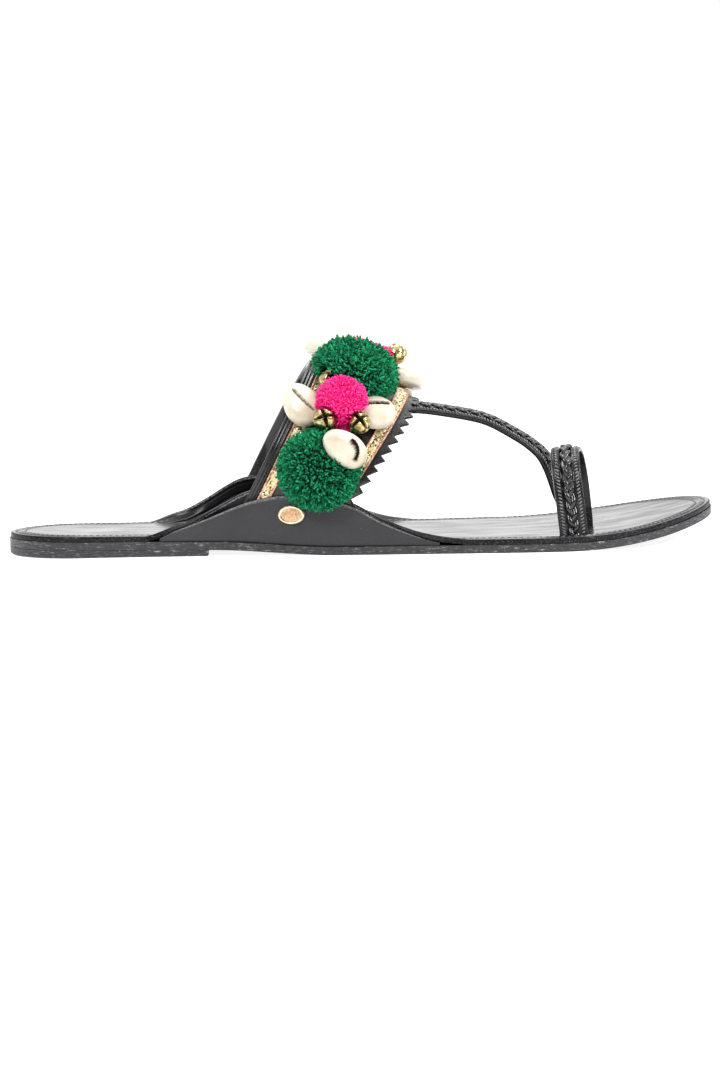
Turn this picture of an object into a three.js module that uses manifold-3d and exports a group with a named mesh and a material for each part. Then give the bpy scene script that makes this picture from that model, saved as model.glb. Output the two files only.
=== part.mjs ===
import * as THREE from 'three';
import Module from 'manifold-3d';

// A kolhapuri sandal for the left foot, in millimetres.
// +X points to the toe, +Y to the outer side of the foot, +Z up from the floor.
// Lengths along the sole are measured from the back of the heel, and the group moves them to the origin.

// Fit between pieces
const GAP = 0.3;
const ORIGIN_FROM_HEEL = 34;

// Sole
const SOLE_LENGTH = 255;
const BALL_WIDTH = 89;
const HEEL_ROUND = 27;
const HEEL_CURVE = 2;
const TOE_ROUND = 50;
const TOE_CURVE_INNER = 1.7;
const TOE_CURVE_OUTER = 2.1;
const TOE_TURN = 4;
const OUTSOLE_THICKNESS = 2.6;
const INSOLE_THICKNESS = 2;
const INSOLE_INSET = 0.4;
const EDGE_ROUND = 0.5;
const LIFT_BACK = 2.9;
const LIFT_BREAST = 1.9;
const LIFT_LENGTH = 71.5;
const LIFT_ROUND = 1.4;
const WAIST_LENGTH = 46;
const TOE_SPRING = 9.5;
const SPRING_LENGTH = 65;
const SPRING_CURVE = 1.8;
const SPRING_SKEW = 0.15;

// Ears
const EAR_BACK = 49;
const EAR_LENGTH_INNER = 114;
const EAR_LENGTH_OUTER = 104;
const EAR_STRIP = 22.3;
const EAR_TURN = 90;
const EAR_BEND = 4;
const FLAP_THICKNESS = 1.5;
const FLAP_LEDGE = 0.8;
const FLAP_DROP = 3.2;

// Instep strap
const STRAP_THICKNESS = 2;
const STRAP_REAR = 84.6;
const STRAP_FRONT = 119.8;
const STRAP_RIM = 18.5;
const STRAP_FOOT = 10.5;
const REAR_LEAN = 27.3;
const FRONT_LEAN = 35.6;
const REAR_CREST = 67.5;
const FRONT_CREST = 55;
const ARCH_SPRINGING = 24;
const ARCH_CURVE = 2.1;
const REAR_BORDER = 4;
const BORDER_RAISE = 0.4;
const EDGING_THICKNESS = 1.4;
const EDGING_WIDTH = 1.7;
const TOOTH_DEPTH = 2.8;
const TOOTH_PITCH = 4.5;

// Gold trim
const TRIM_WIDTH = 5;
const TRIM_THICKNESS = 0.8;

// Toe strap and toe loop
const TOE_STRAP_WIDTH = 8.5;
const TOE_STRAP_SIDE = 12;
const TOE_STRAP_LAP = 9;
const LOOP_WIDTH = 10;
const LOOP_FROM_TIP = 55.3;
const LOOP_EDGE = 6.5;
const LOOP_SPAN = 27;
const LOOP_HEIGHT = 29.5;
const LOOP_SKEW = 6;
const TOE_STRAP_END = 24;
const CORD_WALL = 1.8;
const PLAIT_WIDTH = 4;
const PLAIT_RAISE = 1.1;
const PLAIT_LOW = 0.45;
const PLAIT_MIDDLE = 0.6;
const PLAIT_SWAY = 0.4;
const PLAIT_PITCH = 4.4;

// Ornaments
const GREEN_RADIUS = 15.8;
const GREEN_HEIGHT = 14.5;
const GREEN_GROWN = 1.15;
const PINK_RADIUS = 10;
const PINK_HEIGHT = 13.5;
const PINK_GROWN = 1.4;
const POMPOM_WAIST = 0.42;
const TUFT_DEPTH = 0.16;
const SHELL_LENGTH = 17;
const SHELL_WIDTH = 13;
const SHELL_HEIGHT = 7;
const SHELL_SLIT = 1.6;
const SHELL_TAPER = 0.12;
const SHELL_DOME = 0.6;
const SHELL_BELLY = 0.35;
const BELL_RADIUS = 4.1;
const BELL_SLIT = 0.9;
const RIVET_LENGTH = 9.5;
const RIVET_WIDTH = 6.5;
const RIVET_HEIGHT = 1.3;
const RIVET_FROM_HEEL = 100.7;
const RIVET_UP = 14.4;

// Colours and finishes
const BLACK_SOLE = { color: 0x1a1a1c, roughness: 0.45, metalness: 0 };
const BLACK_STRAP = { color: 0x141416, roughness: 0.5, metalness: 0 };
const GREY_FLAP = { color: 0x2c2c31, roughness: 0.6, metalness: 0 };
const GOLD_RIBBON = { color: 0xc9a45c, roughness: 0.45, metalness: 0.6 };
const GREEN_WOOL = { color: 0x06603a, roughness: 0.95, metalness: 0 };
const PINK_WOOL = { color: 0xe6126e, roughness: 0.95, metalness: 0 };
const COWRIE = { color: 0xeee8d8, roughness: 0.3, metalness: 0 };
const BRASS = { color: 0xb59a4a, roughness: 0.3, metalness: 1 };
const COPPER_GOLD = { color: 0xd9a066, roughness: 0.35, metalness: 1 };

// Half widths of the sole from its middle line, as shares of the ball width, along the sole length
const OUTLINE = [
  { along: 0, inner: 0.295, outer: 0.315 },
  { along: 0.13, inner: 0.298, outer: 0.32 },
  { along: 0.28, inner: 0.328, outer: 0.372 },
  { along: 0.43, inner: 0.398, outer: 0.434 },
  { along: 0.59, inner: 0.446, outer: 0.489 },
  { along: 0.73, inner: 0.478, outer: 0.522 },
  { along: 0.82, inner: 0.462, outer: 0.518 },
  { along: 1, inner: 0.44, outer: 0.5 },
];

// The turned-up edge of the insole along the ear: the strip that turns, as a share of the ear strip,
// how far it has turned, how far it stands in to hold the strap, and how far the flap stops below it
const EAR = [
  { along: 0, strip: 0.13, turn: 0, pocket: 0, drop: 0.1 },
  { along: 0.075, strip: 0.305, turn: 0.42, pocket: 0, drop: 0.1 },
  { along: 0.145, strip: 0.426, turn: 0.64, pocket: 0.45, drop: 0.1 },
  { along: 0.217, strip: 0.61, turn: 0.84, pocket: 1, drop: 0.5 },
  { along: 0.33, strip: 0.915, turn: 0.98, pocket: 1, drop: 1 },
  { along: 0.42, strip: 1, turn: 1, pocket: 1, drop: 0.8 },
  { along: 0.5, strip: 0.982, turn: 1, pocket: 1, drop: 0.6 },
  { along: 0.56, strip: 0.91, turn: 1, pocket: 1, drop: 0.45 },
  { along: 0.64, strip: 0.78, turn: 0.98, pocket: 1, drop: 0.25 },
  { along: 0.725, strip: 0.538, turn: 0.8, pocket: 1, drop: 0.15 },
  { along: 0.795, strip: 0.386, turn: 0.61, pocket: 0.5, drop: 0.1 },
  { along: 0.877, strip: 0.256, turn: 0.33, pocket: 0, drop: 0.1 },
  { along: 1, strip: 0.13, turn: 0, pocket: 0, drop: 0.1 },
];
const FLAP_TAILS = { from: 0.045, to: 0.905 };

// Middle line of the toe strap from the instep strap down to the loop: shares of the way forward
// and of the height between its two ends, and how far its width has turned
const TOE_STRAP = [
  { forward: 0.1, height: 0.99, turned: 0 },
  { forward: 0.25, height: 0.956, turned: 0 },
  { forward: 0.48, height: 0.877, turned: 0.05 },
  { forward: 0.64, height: 0.75, turned: 0.12 },
  { forward: 0.735, height: 0.657, turned: 0.2 },
  { forward: 0.81, height: 0.556, turned: 0.32 },
  { forward: 0.86, height: 0.44, turned: 0.5 },
  { forward: 0.896, height: 0.324, turned: 0.65 },
  { forward: 0.93, height: 0.2, turned: 0.8 },
  { forward: 0.97, height: 0.09, turned: 0.95 },
  { forward: 1, height: 0, turned: 1 },
];

// Middle line of the toe loop: shares of its span, height and forward skew
const LOOP = [
  { across: 0, height: 0, forward: 0 },
  { across: 0, height: 0.08, forward: 0 },
  { across: -0.01, height: 0.3, forward: -0.12 },
  { across: 0.01, height: 0.6, forward: -0.28 },
  { across: 0.13, height: 0.86, forward: -0.35 },
  { across: 0.33, height: 0.98, forward: -0.26 },
  { across: 0.5, height: 1, forward: -0.1 },
  { across: 0.67, height: 0.98, forward: 0.12 },
  { across: 0.87, height: 0.86, forward: 0.45 },
  { across: 0.99, height: 0.6, forward: 0.75 },
  { across: 1.01, height: 0.3, forward: 0.92 },
  { across: 1, height: 0.08, forward: 1 },
  { across: 1, height: 0, forward: 1 },
];

// Pompoms on the instep strap: the place along the arch from its crest to its foot, inner side
// negative, the place across from the rear edge to the front edge, and the size
const GREEN_POMPOMS = [
  { arch: -0.706, across: 0.57, size: 0.95 },
  { arch: -0.207, across: 0.455, size: 1 },
  { arch: 0.285, across: 0.5, size: 1 },
  { arch: 0.715, across: 0.57, size: 0.95 },
];
const PINK_POMPOMS = [
  { arch: -0.414, across: 0.48, size: 1 },
  { arch: 0.035, across: 0.53, size: 0.95 },
  { arch: 0.44, across: 0.49, size: 0.95 },
];

// The same places for the shells, with their turn on the strap, their roll about their length and
// their rise as a share of their height
const SHELLS = [
  { arch: -0.429, across: 0.12, turn: -50, roll: 0, rise: 0 },
  { arch: -0.406, across: 0.77, turn: 8, roll: 0, rise: 0 },
  { arch: -0.602, across: 0.745, turn: -28, roll: 48, rise: 1.45 },
  { arch: 0.045, across: 0.1, turn: 75, roll: 0, rise: 0 },
  { arch: 0.085, across: 0.96, turn: 64, roll: 0, rise: 0 },
  { arch: 0.275, across: 0.965, turn: -66, roll: 0, rise: 0 },
  { arch: 0.44, across: 0.2, turn: 55, roll: 0, rise: 0 },
  { arch: 0.435, across: 0.79, turn: -4, roll: 0, rise: 0 },
  { arch: 0.627, across: 0.745, turn: 28, roll: -48, rise: 1.45 },
];

// Half of a cowrie's section, from the middle of its back round to the lip of its slit
const SHELL_SECTION = [
  { across: 0.6, up: 0 },
  { across: 1, up: 0.4 },
  { across: 0.75, up: 0.82 },
];
const SLIT_FLOOR = 0.68;

// The same places for the bells, with their rise on the strap as a share of their radius
const BELLS = [
  { arch: -0.506, across: 0.41, rise: 1.5 },
  { arch: -0.502, across: 0.735, rise: 1.3 },
  { arch: -0.3, across: 0.27, rise: 0.4 },
  { arch: 0.05, across: 0.34, rise: 1.4 },
  { arch: 0.05, across: 0.79, rise: 1.9 },
  { arch: 0.53, across: 0.41, rise: 1.5 },
  { arch: 0.527, across: 0.735, rise: 1.3 },
];

// Half section of a rivet head, as shares of its half width and height
const RIVET_PROFILE = [
  { out: 0, up: 0 },
  { out: 1, up: 0 },
  { out: 1, up: 0.45 },
  { out: 0.88, up: 0.85 },
  { out: 0.6, up: 1 },
  { out: 0, up: 1 },
];

// Facets
const HEEL_STEPS = 6;
const TOE_STEPS = 8;
const SOLE_STEP = 20;
const EAR_STEPS = 19;
const BEND_STEPS = 3;
const FLAP_STEPS = 26;
const TRIM_STEPS = 32;
const ARCH_SAMPLES = 48;
const PLAIT_STEPS_PER_PITCH = 2;
const SHELL_STATIONS = 7;
const GREEN_DETAIL = 2;
const PINK_DETAIL = 1;
const BELL_SEGMENTS = 8;
const ROOM_SEGMENTS = 6;
const RIVET_SEGMENTS = 16;
const MERGE_GRID = 1e4;
const FRAME_STEP = 0.01;
const ALONG_X = 0.9;
const FAR = 100;

const GREEN = { radius: GREEN_RADIUS, tall: GREEN_HEIGHT, grown: GREEN_GROWN, detail: GREEN_DETAIL };
const PINK = { radius: PINK_RADIUS, tall: PINK_HEIGHT, grown: PINK_GROWN, detail: PINK_DETAIL };

const INNER = -1;
const OUTER = 1;
const { degToRad, lerp, clamp } = THREE.MathUtils;

const wasm = await Module();
wasm.setup();

const smooth = (t) => t * t * (3 - 2 * t);
const roundOff = (t, power) => (1 - t ** power) ** (1 / power);

// Reads a column of a table at a share along it, on a smooth curve through the rows
function column(table, name, along) {
  const t = clamp(along, table[0].along, table[table.length - 1].along);
  const k = Math.max(0, table.findIndex((row, i) => i > 0 && t <= row.along) - 1);
  const slope = (i) => {
    const a = table[Math.max(i - 1, 0)];
    const b = table[Math.min(i + 1, table.length - 1)];
    return (b[name] - a[name]) / (b.along - a.along);
  };
  const low = table[k];
  const high = table[k + 1];
  const span = high.along - low.along;
  const u = (t - low.along) / span;
  const bend = (1 - u) * u * span;
  return lerp(low[name], high[name], smooth(u)) + bend * ((1 - u) * slope(k) - u * slope(k + 1));
}

// Joins closed rings of points into one skin, with a cap on an end that is not drawn to a line
function loft(rings, caps = { first: false, last: false }) {
  const positions = [];
  const triangles = [];
  const known = new Map();
  const vertex = (p) => {
    const key = p.toArray().map((v) => Math.round(v * MERGE_GRID)).join(' ');
    if (!known.has(key)) {
      known.set(key, positions.length / 3);
      positions.push(...p.toArray());
    }
    return known.get(key);
  };
  const triangle = (a, b, c) => {
    if (a !== b && b !== c && c !== a) triangles.push(a, b, c);
  };
  const grid = rings.map((ring) => ring.map(vertex));
  for (let i = 0; i + 1 < grid.length; i++) {
    const n = grid[i].length;
    for (let k = 0; k < n; k++) {
      const next = (k + 1) % n;
      triangle(grid[i][k], grid[i][next], grid[i + 1][next]);
      triangle(grid[i][k], grid[i + 1][next], grid[i + 1][k]);
    }
  }
  const cap = (ring, ids, turned) => {
    for (const [a, b, c] of THREE.ShapeUtils.triangulateShape(flatten(ring), [])) {
      if (turned) triangle(ids[a], ids[b], ids[c]);
      else triangle(ids[c], ids[b], ids[a]);
    }
  };
  if (caps.first) cap(rings[0], grid[0], false);
  if (caps.last) cap(rings[rings.length - 1], grid[grid.length - 1], true);
  const geometry = new THREE.BufferGeometry();
  geometry.setAttribute('position', new THREE.Float32BufferAttribute(positions, 3));
  geometry.setIndex(facingOut(positions, triangles));
  return geometry;
}

// The ring's own plane, as two-dimensional points in the ring's turning order
function flatten(ring) {
  const normal = new THREE.Vector3();
  for (let i = 0; i < ring.length; i++) {
    normal.add(ring[i].clone().cross(ring[(i + 1) % ring.length]));
  }
  normal.normalize();
  const aside = Math.abs(normal.x) < ALONG_X ? new THREE.Vector3(1, 0, 0) : new THREE.Vector3(0, 1, 0);
  const a = aside.cross(normal).normalize();
  const b = normal.clone().cross(a);
  return ring.map((p) => new THREE.Vector2(p.dot(a), p.dot(b)));
}

// Turns all triangles over if the skin encloses its volume the wrong way round
function facingOut(positions, triangles) {
  const point = (i) => new THREE.Vector3().fromArray(positions, 3 * i);
  let volume = 0;
  for (let i = 0; i < triangles.length; i += 3) {
    const [a, b, c] = [0, 1, 2].map((k) => point(triangles[i + k]));
    volume += a.dot(b.cross(c));
  }
  return volume < 0 ? triangles.slice().reverse() : triangles;
}

function solidOf(geometry) {
  return new wasm.Manifold(new wasm.Mesh({
    numProp: 3,
    vertProperties: new Float32Array(geometry.attributes.position.array),
    triVerts: new Uint32Array(geometry.index.array),
  }));
}

function geometryOf(solid) {
  const mesh = solid.getMesh();
  const geometry = new THREE.BufferGeometry();
  geometry.setAttribute('position', new THREE.BufferAttribute(mesh.vertProperties, 3));
  geometry.setIndex(new THREE.BufferAttribute(mesh.triVerts, 1));
  return geometry;
}

// Sole outline
const spine = (x) => -TOE_TURN * smooth(clamp(x / SOLE_LENGTH, 0, 1) ** 2);

function halfWidth(side, x) {
  return column(OUTLINE, side === INNER ? 'inner' : 'outer', x / SOLE_LENGTH) * BALL_WIDTH;
}

function edgeRound(side, x) {
  if (x < HEEL_ROUND) return roundOff(1 - x / HEEL_ROUND, HEEL_CURVE);
  const fromTip = SOLE_LENGTH - x;
  const curve = side === INNER ? TOE_CURVE_INNER : TOE_CURVE_OUTER;
  return fromTip < TOE_ROUND ? roundOff(1 - fromTip / TOE_ROUND, curve) : 1;
}

// A point on the outline drawn in by the inset, on its own height
function edgePoint(side, x, inset, height) {
  const along = inset + (x * (SOLE_LENGTH - 2 * inset)) / SOLE_LENGTH;
  const y = spine(x) + side * (halfWidth(side, x) - inset) * edgeRound(side, x);
  return new THREE.Vector3(along, y, height(along, y));
}

const edgeY = (side, x) => spine(x) + side * halfWidth(side, x) * edgeRound(side, x);

// Height of the outsole's underside: on the lift, down the waist, flat at the tread, up at the toe
function underside(x, y) {
  if (x < LIFT_LENGTH) return lerp(LIFT_BACK, LIFT_BREAST, x / LIFT_LENGTH) + GAP;
  const down = clamp((x - LIFT_LENGTH) / WAIST_LENGTH, 0, 1);
  const sprung = x + SPRING_SKEW * y - (SOLE_LENGTH - SPRING_LENGTH);
  const up = Math.max(0, sprung / SPRING_LENGTH);
  return (LIFT_BREAST + GAP) * (1 - smooth(down)) + TOE_SPRING * up ** SPRING_CURVE;
}

const insoleUnder = (x, y) => underside(x, y) + OUTSOLE_THICKNESS + GAP;
const insoleTop = (x, y) => insoleUnder(x, y) + INSOLE_THICKNESS;

// Places along the sole, close together where its ends round off and along the ears
function stations(end) {
  const list = [];
  const quarter = (k, n) => 1 - Math.cos((k / n) * (Math.PI / 2));
  for (let k = 0; k < HEEL_STEPS; k++) list.push(HEEL_ROUND * quarter(k, HEEL_STEPS));
  const earEnd = EAR_BACK + EAR_LENGTH_INNER;
  const toeStart = SOLE_LENGTH - TOE_ROUND;
  spread(list, HEEL_ROUND, EAR_BACK, Math.ceil((EAR_BACK - HEEL_ROUND) / SOLE_STEP));
  spread(list, EAR_BACK, earEnd, EAR_STEPS);
  spread(list, earEnd, toeStart, Math.max(1, Math.ceil((toeStart - earEnd) / SOLE_STEP)));
  for (let k = TOE_STEPS; k >= 0; k--) list.push(SOLE_LENGTH - TOE_ROUND * quarter(k, TOE_STEPS));
  return [...list.filter((x) => x < end - GAP), end];
}

function spread(list, from, to, count) {
  for (let k = 0; k < count; k++) list.push(lerp(from, to, k / count));
}

// A plate between two heights, whose rounded edge follows the outline
function plate(end, inset, low, high, rounds) {
  const levels = [
    [inset + rounds.low, low],
    [inset, (x, y) => low(x, y) + rounds.low],
    [inset, (x, y) => high(x, y) - rounds.high],
    [inset + rounds.high, high],
  ];
  const side = (which, x) => levels.map(([into, height]) => edgePoint(which, x, into, height));
  const rings = stations(end).map((x) => [...side(INNER, x), ...side(OUTER, x).reverse()]);
  return loft(rings, { first: false, last: end < SOLE_LENGTH });
}

// Ears
const earLength = (side) => (side === INNER ? EAR_LENGTH_INNER : EAR_LENGTH_OUTER);
const earShare = (side, x) => (x - EAR_BACK) / earLength(side);
const flapFace = (side, x) => Math.abs(edgeY(side, x) - spine(x)) - FLAP_LEDGE;
const pocketDepth = GAP + TRIM_THICKNESS + GAP + STRAP_THICKNESS;

// Distance of the strap's inner face from the spine where it stands in the ear
const strapStand = (side, x) => flapFace(side, x) - FLAP_THICKNESS - pocketDepth;

// The turned strip at one place: where its bend starts, its width, its turn and the flap's drop
function turnedStrip(side, x) {
  const u = earShare(side, x);
  const half = edgeRound(side, x) * (halfWidth(side, x) - INSOLE_INSET);
  const strip = Math.min(column(EAR, 'strip', u) * EAR_STRIP, half);
  const turn = degToRad(EAR_TURN) * clamp(column(EAR, 'turn', u), 0, 1);
  const stand = flapFace(side, x) - FLAP_THICKNESS - GAP;
  const pocket = clamp(column(EAR, 'pocket', u), 0, 1) * pocketDepth;
  const reach = EAR_BEND * Math.sin(turn) + Math.max(0, strip - EAR_BEND * turn) * Math.cos(turn);
  const upright = stand - pocket - reach;
  const start = lerp(half - strip, upright, smooth(turn / degToRad(EAR_TURN)));
  return { start, strip, turn, drop: column(EAR, 'drop', u) * FLAP_DROP };
}

// Points of the strip from its bend to its edge, on its outer face or, at a depth, inside it
function stripPoints(side, x, depth) {
  const { start, strip, turn } = turnedStrip(side, x);
  const base = insoleUnder(x, spine(x) + side * start);
  const point = (out, up) => new THREE.Vector3(x, spine(x) + side * (start + out), base + up);
  const radius = EAR_BEND - depth;
  const arc = (angle) => [radius * Math.sin(angle), EAR_BEND - radius * Math.cos(angle)];
  const list = [];
  for (let k = 0; k <= BEND_STEPS; k++) list.push(point(...arc((turn * k) / BEND_STEPS)));
  const straight = Math.max(0, strip - EAR_BEND * turn);
  const [out, up] = arc(turn);
  list.push(point(out + straight * Math.cos(turn), up + straight * Math.sin(turn)));
  return list;
}

function insole() {
  const rings = stations(SOLE_LENGTH).map((x) => {
    const half = (side, depth) => stripPoints(side, x, depth);
    const under = [...half(INNER, 0).reverse(), ...half(OUTER, 0)];
    const over = [...half(OUTER, INSOLE_THICKNESS).reverse(), ...half(INNER, INSOLE_THICKNESS)];
    return [...under, ...over];
  });
  return loft(rings);
}

// Height of the strip's outer face over a place out from the spine
function stripHeight(side, x, out) {
  const points = stripPoints(side, x, 0);
  const reach = points.map((p) => Math.abs(p.y - spine(x)));
  const k = reach.findIndex((r) => r >= out);
  if (k < 0) return points[points.length - 1].z;
  if (k === 0) return points[0].z;
  return lerp(points[k - 1].z, points[k].z, (out - reach[k - 1]) / (reach[k] - reach[k - 1]));
}

// The smooth outer leather of an ear, standing on the outsole and closing under the turned strip
function earFlap(side) {
  const rings = [];
  for (let i = 0; i <= FLAP_STEPS; i++) {
    const u = lerp(FLAP_TAILS.from, FLAP_TAILS.to, i / FLAP_STEPS);
    const x = EAR_BACK + u * earLength(side);
    const face = flapFace(side, x);
    const { drop } = turnedStrip(side, x);
    const foot = (out) => underside(x, spine(x) + side * out) + OUTSOLE_THICKNESS + GAP;
    const top = (out) => stripHeight(side, x, out) - GAP - drop;
    const point = (out, z) => new THREE.Vector3(x, spine(x) + side * out, z);
    const back = face - FLAP_THICKNESS;
    rings.push([
      point(face, foot(face)),
      point(face, top(face)),
      point(back, top(back)),
      point(back, foot(back)),
    ]);
  }
  return loft(rings, { first: true, last: true });
}

// Instep strap: a share of the half arch from its crest to its foot, as its place out from the
// middle, its rise from springing to crest and its way down the leg
const quarterArch = [];
for (let k = 0; k <= ARCH_SAMPLES; k++) {
  const angle = (k / ARCH_SAMPLES) * (Math.PI / 2);
  quarterArch.push({
    out: Math.sin(angle) ** (2 / ARCH_CURVE),
    rise: Math.cos(angle) ** (2 / ARCH_CURVE),
    leg: 0,
  });
}
quarterArch.push({ out: 1, rise: 0, leg: 1 });

const middleX = (STRAP_REAR + STRAP_FRONT) / 2;
const innerStand = strapStand(INNER, middleX);
const outerStand = strapStand(OUTER, middleX);
const meanStand = (innerStand + outerStand) / 2;
const meanRise = (REAR_CREST + FRONT_CREST) / 2 - STRAP_THICKNESS - ARCH_SPRINGING;
let archLength = 0;
quarterArch.forEach((now, i) => {
  const last = quarterArch[Math.max(i - 1, 0)];
  const up = (now.rise - last.rise) * meanRise;
  const down = (now.leg - last.leg) * (ARCH_SPRINGING - STRAP_FOOT);
  archLength += Math.hypot((now.out - last.out) * meanStand, up, down);
  now.along = archLength;
});
quarterArch.forEach((row) => { row.along /= archLength; });

function archAt(share) {
  const t = clamp(Math.abs(share), 0, 1);
  const k = Math.max(1, quarterArch.findIndex((row) => row.along >= t));
  const low = quarterArch[k - 1];
  const high = quarterArch[k];
  const u = (t - low.along) / (high.along - low.along);
  return {
    out: lerp(low.out, high.out, u),
    rise: lerp(low.rise, high.rise, u),
    leg: lerp(low.leg, high.leg, u),
  };
}

// A point of the strap's inner face: share of the arch, and share from the rear to the front edge
function strapFace(share, across) {
  const { out, rise, leg } = archAt(share);
  const z = (crest) => {
    const up = lerp(ARCH_SPRINGING, crest - STRAP_THICKNESS, rise);
    return lerp(up, STRAP_FOOT, leg);
  };
  const rear = STRAP_REAR + (z(REAR_CREST) - STRAP_RIM) * Math.tan(degToRad(REAR_LEAN));
  const front = STRAP_FRONT + (z(FRONT_CREST) - STRAP_RIM) * Math.tan(degToRad(FRONT_LEAN));
  const x = lerp(rear, front, across);
  const middle = spine(x) + (strapStand(OUTER, x) - strapStand(INNER, x)) / 2;
  const stand = (strapStand(OUTER, x) + strapStand(INNER, x)) / 2;
  const y = middle + Math.sign(share) * out * stand;
  return new THREE.Vector3(x, y, lerp(z(REAR_CREST), z(FRONT_CREST), across));
}

// The frame on the strap: a point at a height over its inner face, its outward and its own directions
function strapFrame(share, across, height) {
  const point = strapFace(share, across);
  const next = strapFace(Math.min(share + FRAME_STEP, 1), across);
  const along = next.sub(strapFace(Math.max(share - FRAME_STEP, -1), across));
  const over = strapFace(share, across + FRAME_STEP).sub(strapFace(share, across - FRAME_STEP));
  const forward = over.normalize();
  const out = along.cross(forward).negate().normalize();
  const aside = out.clone().cross(forward).normalize();
  point.addScaledVector(out, height);
  return { point, out, forward, aside };
}

// A share across the strap for a distance in from its rear edge or from its front edge
function acrossAt(share, fromRear, fromFront) {
  const width = strapFace(share, 0).distanceTo(strapFace(share, 1));
  return fromRear !== null ? fromRear / width : 1 - fromFront / width;
}

const onStrap = (share, fromRear, fromFront, height) =>
  strapFrame(share, acrossAt(share, fromRear, fromFront), height).point;

// The band with its raised rear border and the pinked edging, one tooth to every two rings
function instepBand() {
  const teeth = 2 * Math.round(archLength / TOOTH_PITCH);
  const rings = [];
  for (let i = 0; i <= 2 * teeth; i++) {
    const share = lerp(-1, 1, i / (2 * teeth));
    const tip = -EDGING_WIDTH - (i % 2) * TOOTH_DEPTH;
    rings.push([
      onStrap(share, 0, null, 0),
      onStrap(share, 0, null, STRAP_THICKNESS + BORDER_RAISE),
      onStrap(share, REAR_BORDER - 2 * GAP, null, STRAP_THICKNESS + BORDER_RAISE),
      onStrap(share, REAR_BORDER - GAP, null, STRAP_THICKNESS),
      strapFrame(share, 0.5, STRAP_THICKNESS).point,
      onStrap(share, null, 0, STRAP_THICKNESS),
      onStrap(share, null, -GAP, EDGING_THICKNESS),
      onStrap(share, null, tip, EDGING_THICKNESS),
      onStrap(share, null, tip, 0),
      onStrap(share, null, 0, 0),
      strapFrame(share, 0.5, 0).point,
    ]);
  }
  return loft(rings, { first: true, last: true });
}

// A ribbon on the band, between two distances in from the same edge
function trim(place) {
  const rings = [];
  for (let i = 0; i <= TRIM_STEPS; i++) {
    const share = lerp(-1, 1, i / TRIM_STEPS);
    const base = STRAP_THICKNESS + GAP;
    rings.push([
      place(share, 0, base),
      place(share, TRIM_WIDTH, base),
      place(share, TRIM_WIDTH, base + TRIM_THICKNESS),
      place(share, 0, base + TRIM_THICKNESS),
    ]);
  }
  return loft(rings, { first: true, last: true });
}

// A flat strap along a path, with a plait raised down its middle on the face away from its back
function plaitedStrap(path, width, frameAt) {
  const count = PLAIT_STEPS_PER_PITCH * Math.round(path.getLength() / PLAIT_PITCH);
  const rings = [];
  for (let i = 0; i <= count; i++) {
    const u = i / count;
    const centre = path.getPointAt(u);
    const { wide, back } = frameAt(u, path.getTangentAt(u));
    const point = (a, b) => centre.clone().addScaledVector(wide, a).addScaledVector(back, -b);
    const [left, right] = i % 2 ? [1, PLAIT_LOW] : [PLAIT_LOW, 1];
    const sway = i % 2 ? PLAIT_SWAY : -PLAIT_SWAY;
    rings.push([
      point(-width / 2, 0),
      point(width / 2, 0),
      point(width / 2, CORD_WALL),
      point(PLAIT_WIDTH / 2, CORD_WALL),
      point(PLAIT_WIDTH / 4, CORD_WALL + PLAIT_RAISE * right),
      point(sway, CORD_WALL + PLAIT_RAISE * PLAIT_MIDDLE),
      point(-PLAIT_WIDTH / 4, CORD_WALL + PLAIT_RAISE * left),
      point(-PLAIT_WIDTH / 2, CORD_WALL),
      point(-width / 2, CORD_WALL),
    ]);
  }
  return loft(rings, { first: true, last: true });
}

// Width and back directions across a tangent, from a wished width direction
function framed(tangent, wished) {
  const wide = wished.clone().addScaledVector(tangent, -wished.dot(tangent)).normalize();
  return { wide, back: wide.clone().cross(tangent).normalize() };
}

// The loop for the big toe: its near leg stands in from the inner edge of the insole
const loopX = SOLE_LENGTH - LOOP_FROM_TIP;
const loopY = edgeY(INNER, loopX) + LOOP_EDGE;
const footZ = (x, y) => insoleTop(x, y) - INSOLE_THICKNESS / 2;

function loopPath() {
  return new THREE.CatmullRomCurve3(LOOP.map((row) => {
    const x = loopX + row.forward * LOOP_SKEW;
    const y = loopY + row.across * LOOP_SPAN;
    return new THREE.Vector3(x, y, footZ(x, y) + row.height * LOOP_HEIGHT);
  }), false, 'centripetal');
}

function toeLoop() {
  const wished = new THREE.Vector3(-1, 0, 0);
  return plaitedStrap(loopPath(), LOOP_WIDTH, (u, tangent) => framed(tangent, wished));
}

// The toe strap leaves the underside of the instep strap and comes down behind the loop's far leg
function toeStrap() {
  const share = -TOE_STRAP_SIDE / archLength;
  const lap = strapFrame(share, acrossAt(share, null, TOE_STRAP_LAP), GAP / 2 - CORD_WALL);
  const leave = strapFrame(share, acrossAt(share, null, 0), GAP / 2 - CORD_WALL);
  const farX = loopX + LOOP_SKEW - LOOP_WIDTH / 4;
  const farY = loopY + LOOP_SPAN;
  const low = insoleTop(farX, farY) + TOE_STRAP_WIDTH / 2;
  const points = TOE_STRAP.map((row) => new THREE.Vector3(
    lerp(leave.point.x, farX, row.forward),
    lerp(leave.point.y, farY, row.forward),
    lerp(low, leave.point.z, row.height),
  ));
  const path = new THREE.CatmullRomCurve3([lap.point, leave.point, ...points], false, 'centripetal');
  const end = degToRad(TOE_STRAP_END);
  const finish = new THREE.Vector3(Math.cos(end), Math.sin(end), 0);
  const turns = TOE_STRAP.map(({ forward, turned }) => ({ along: forward, turned }));
  return plaitedStrap(path, TOE_STRAP_WIDTH, (u, tangent) => {
    const forward = (path.getPointAt(u).x - leave.point.x) / (farX - leave.point.x);
    const turned = clamp(column(turns, 'turned', forward), 0, 1);
    return framed(tangent, leave.aside.clone().lerp(finish, turned));
  });
}

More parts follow.
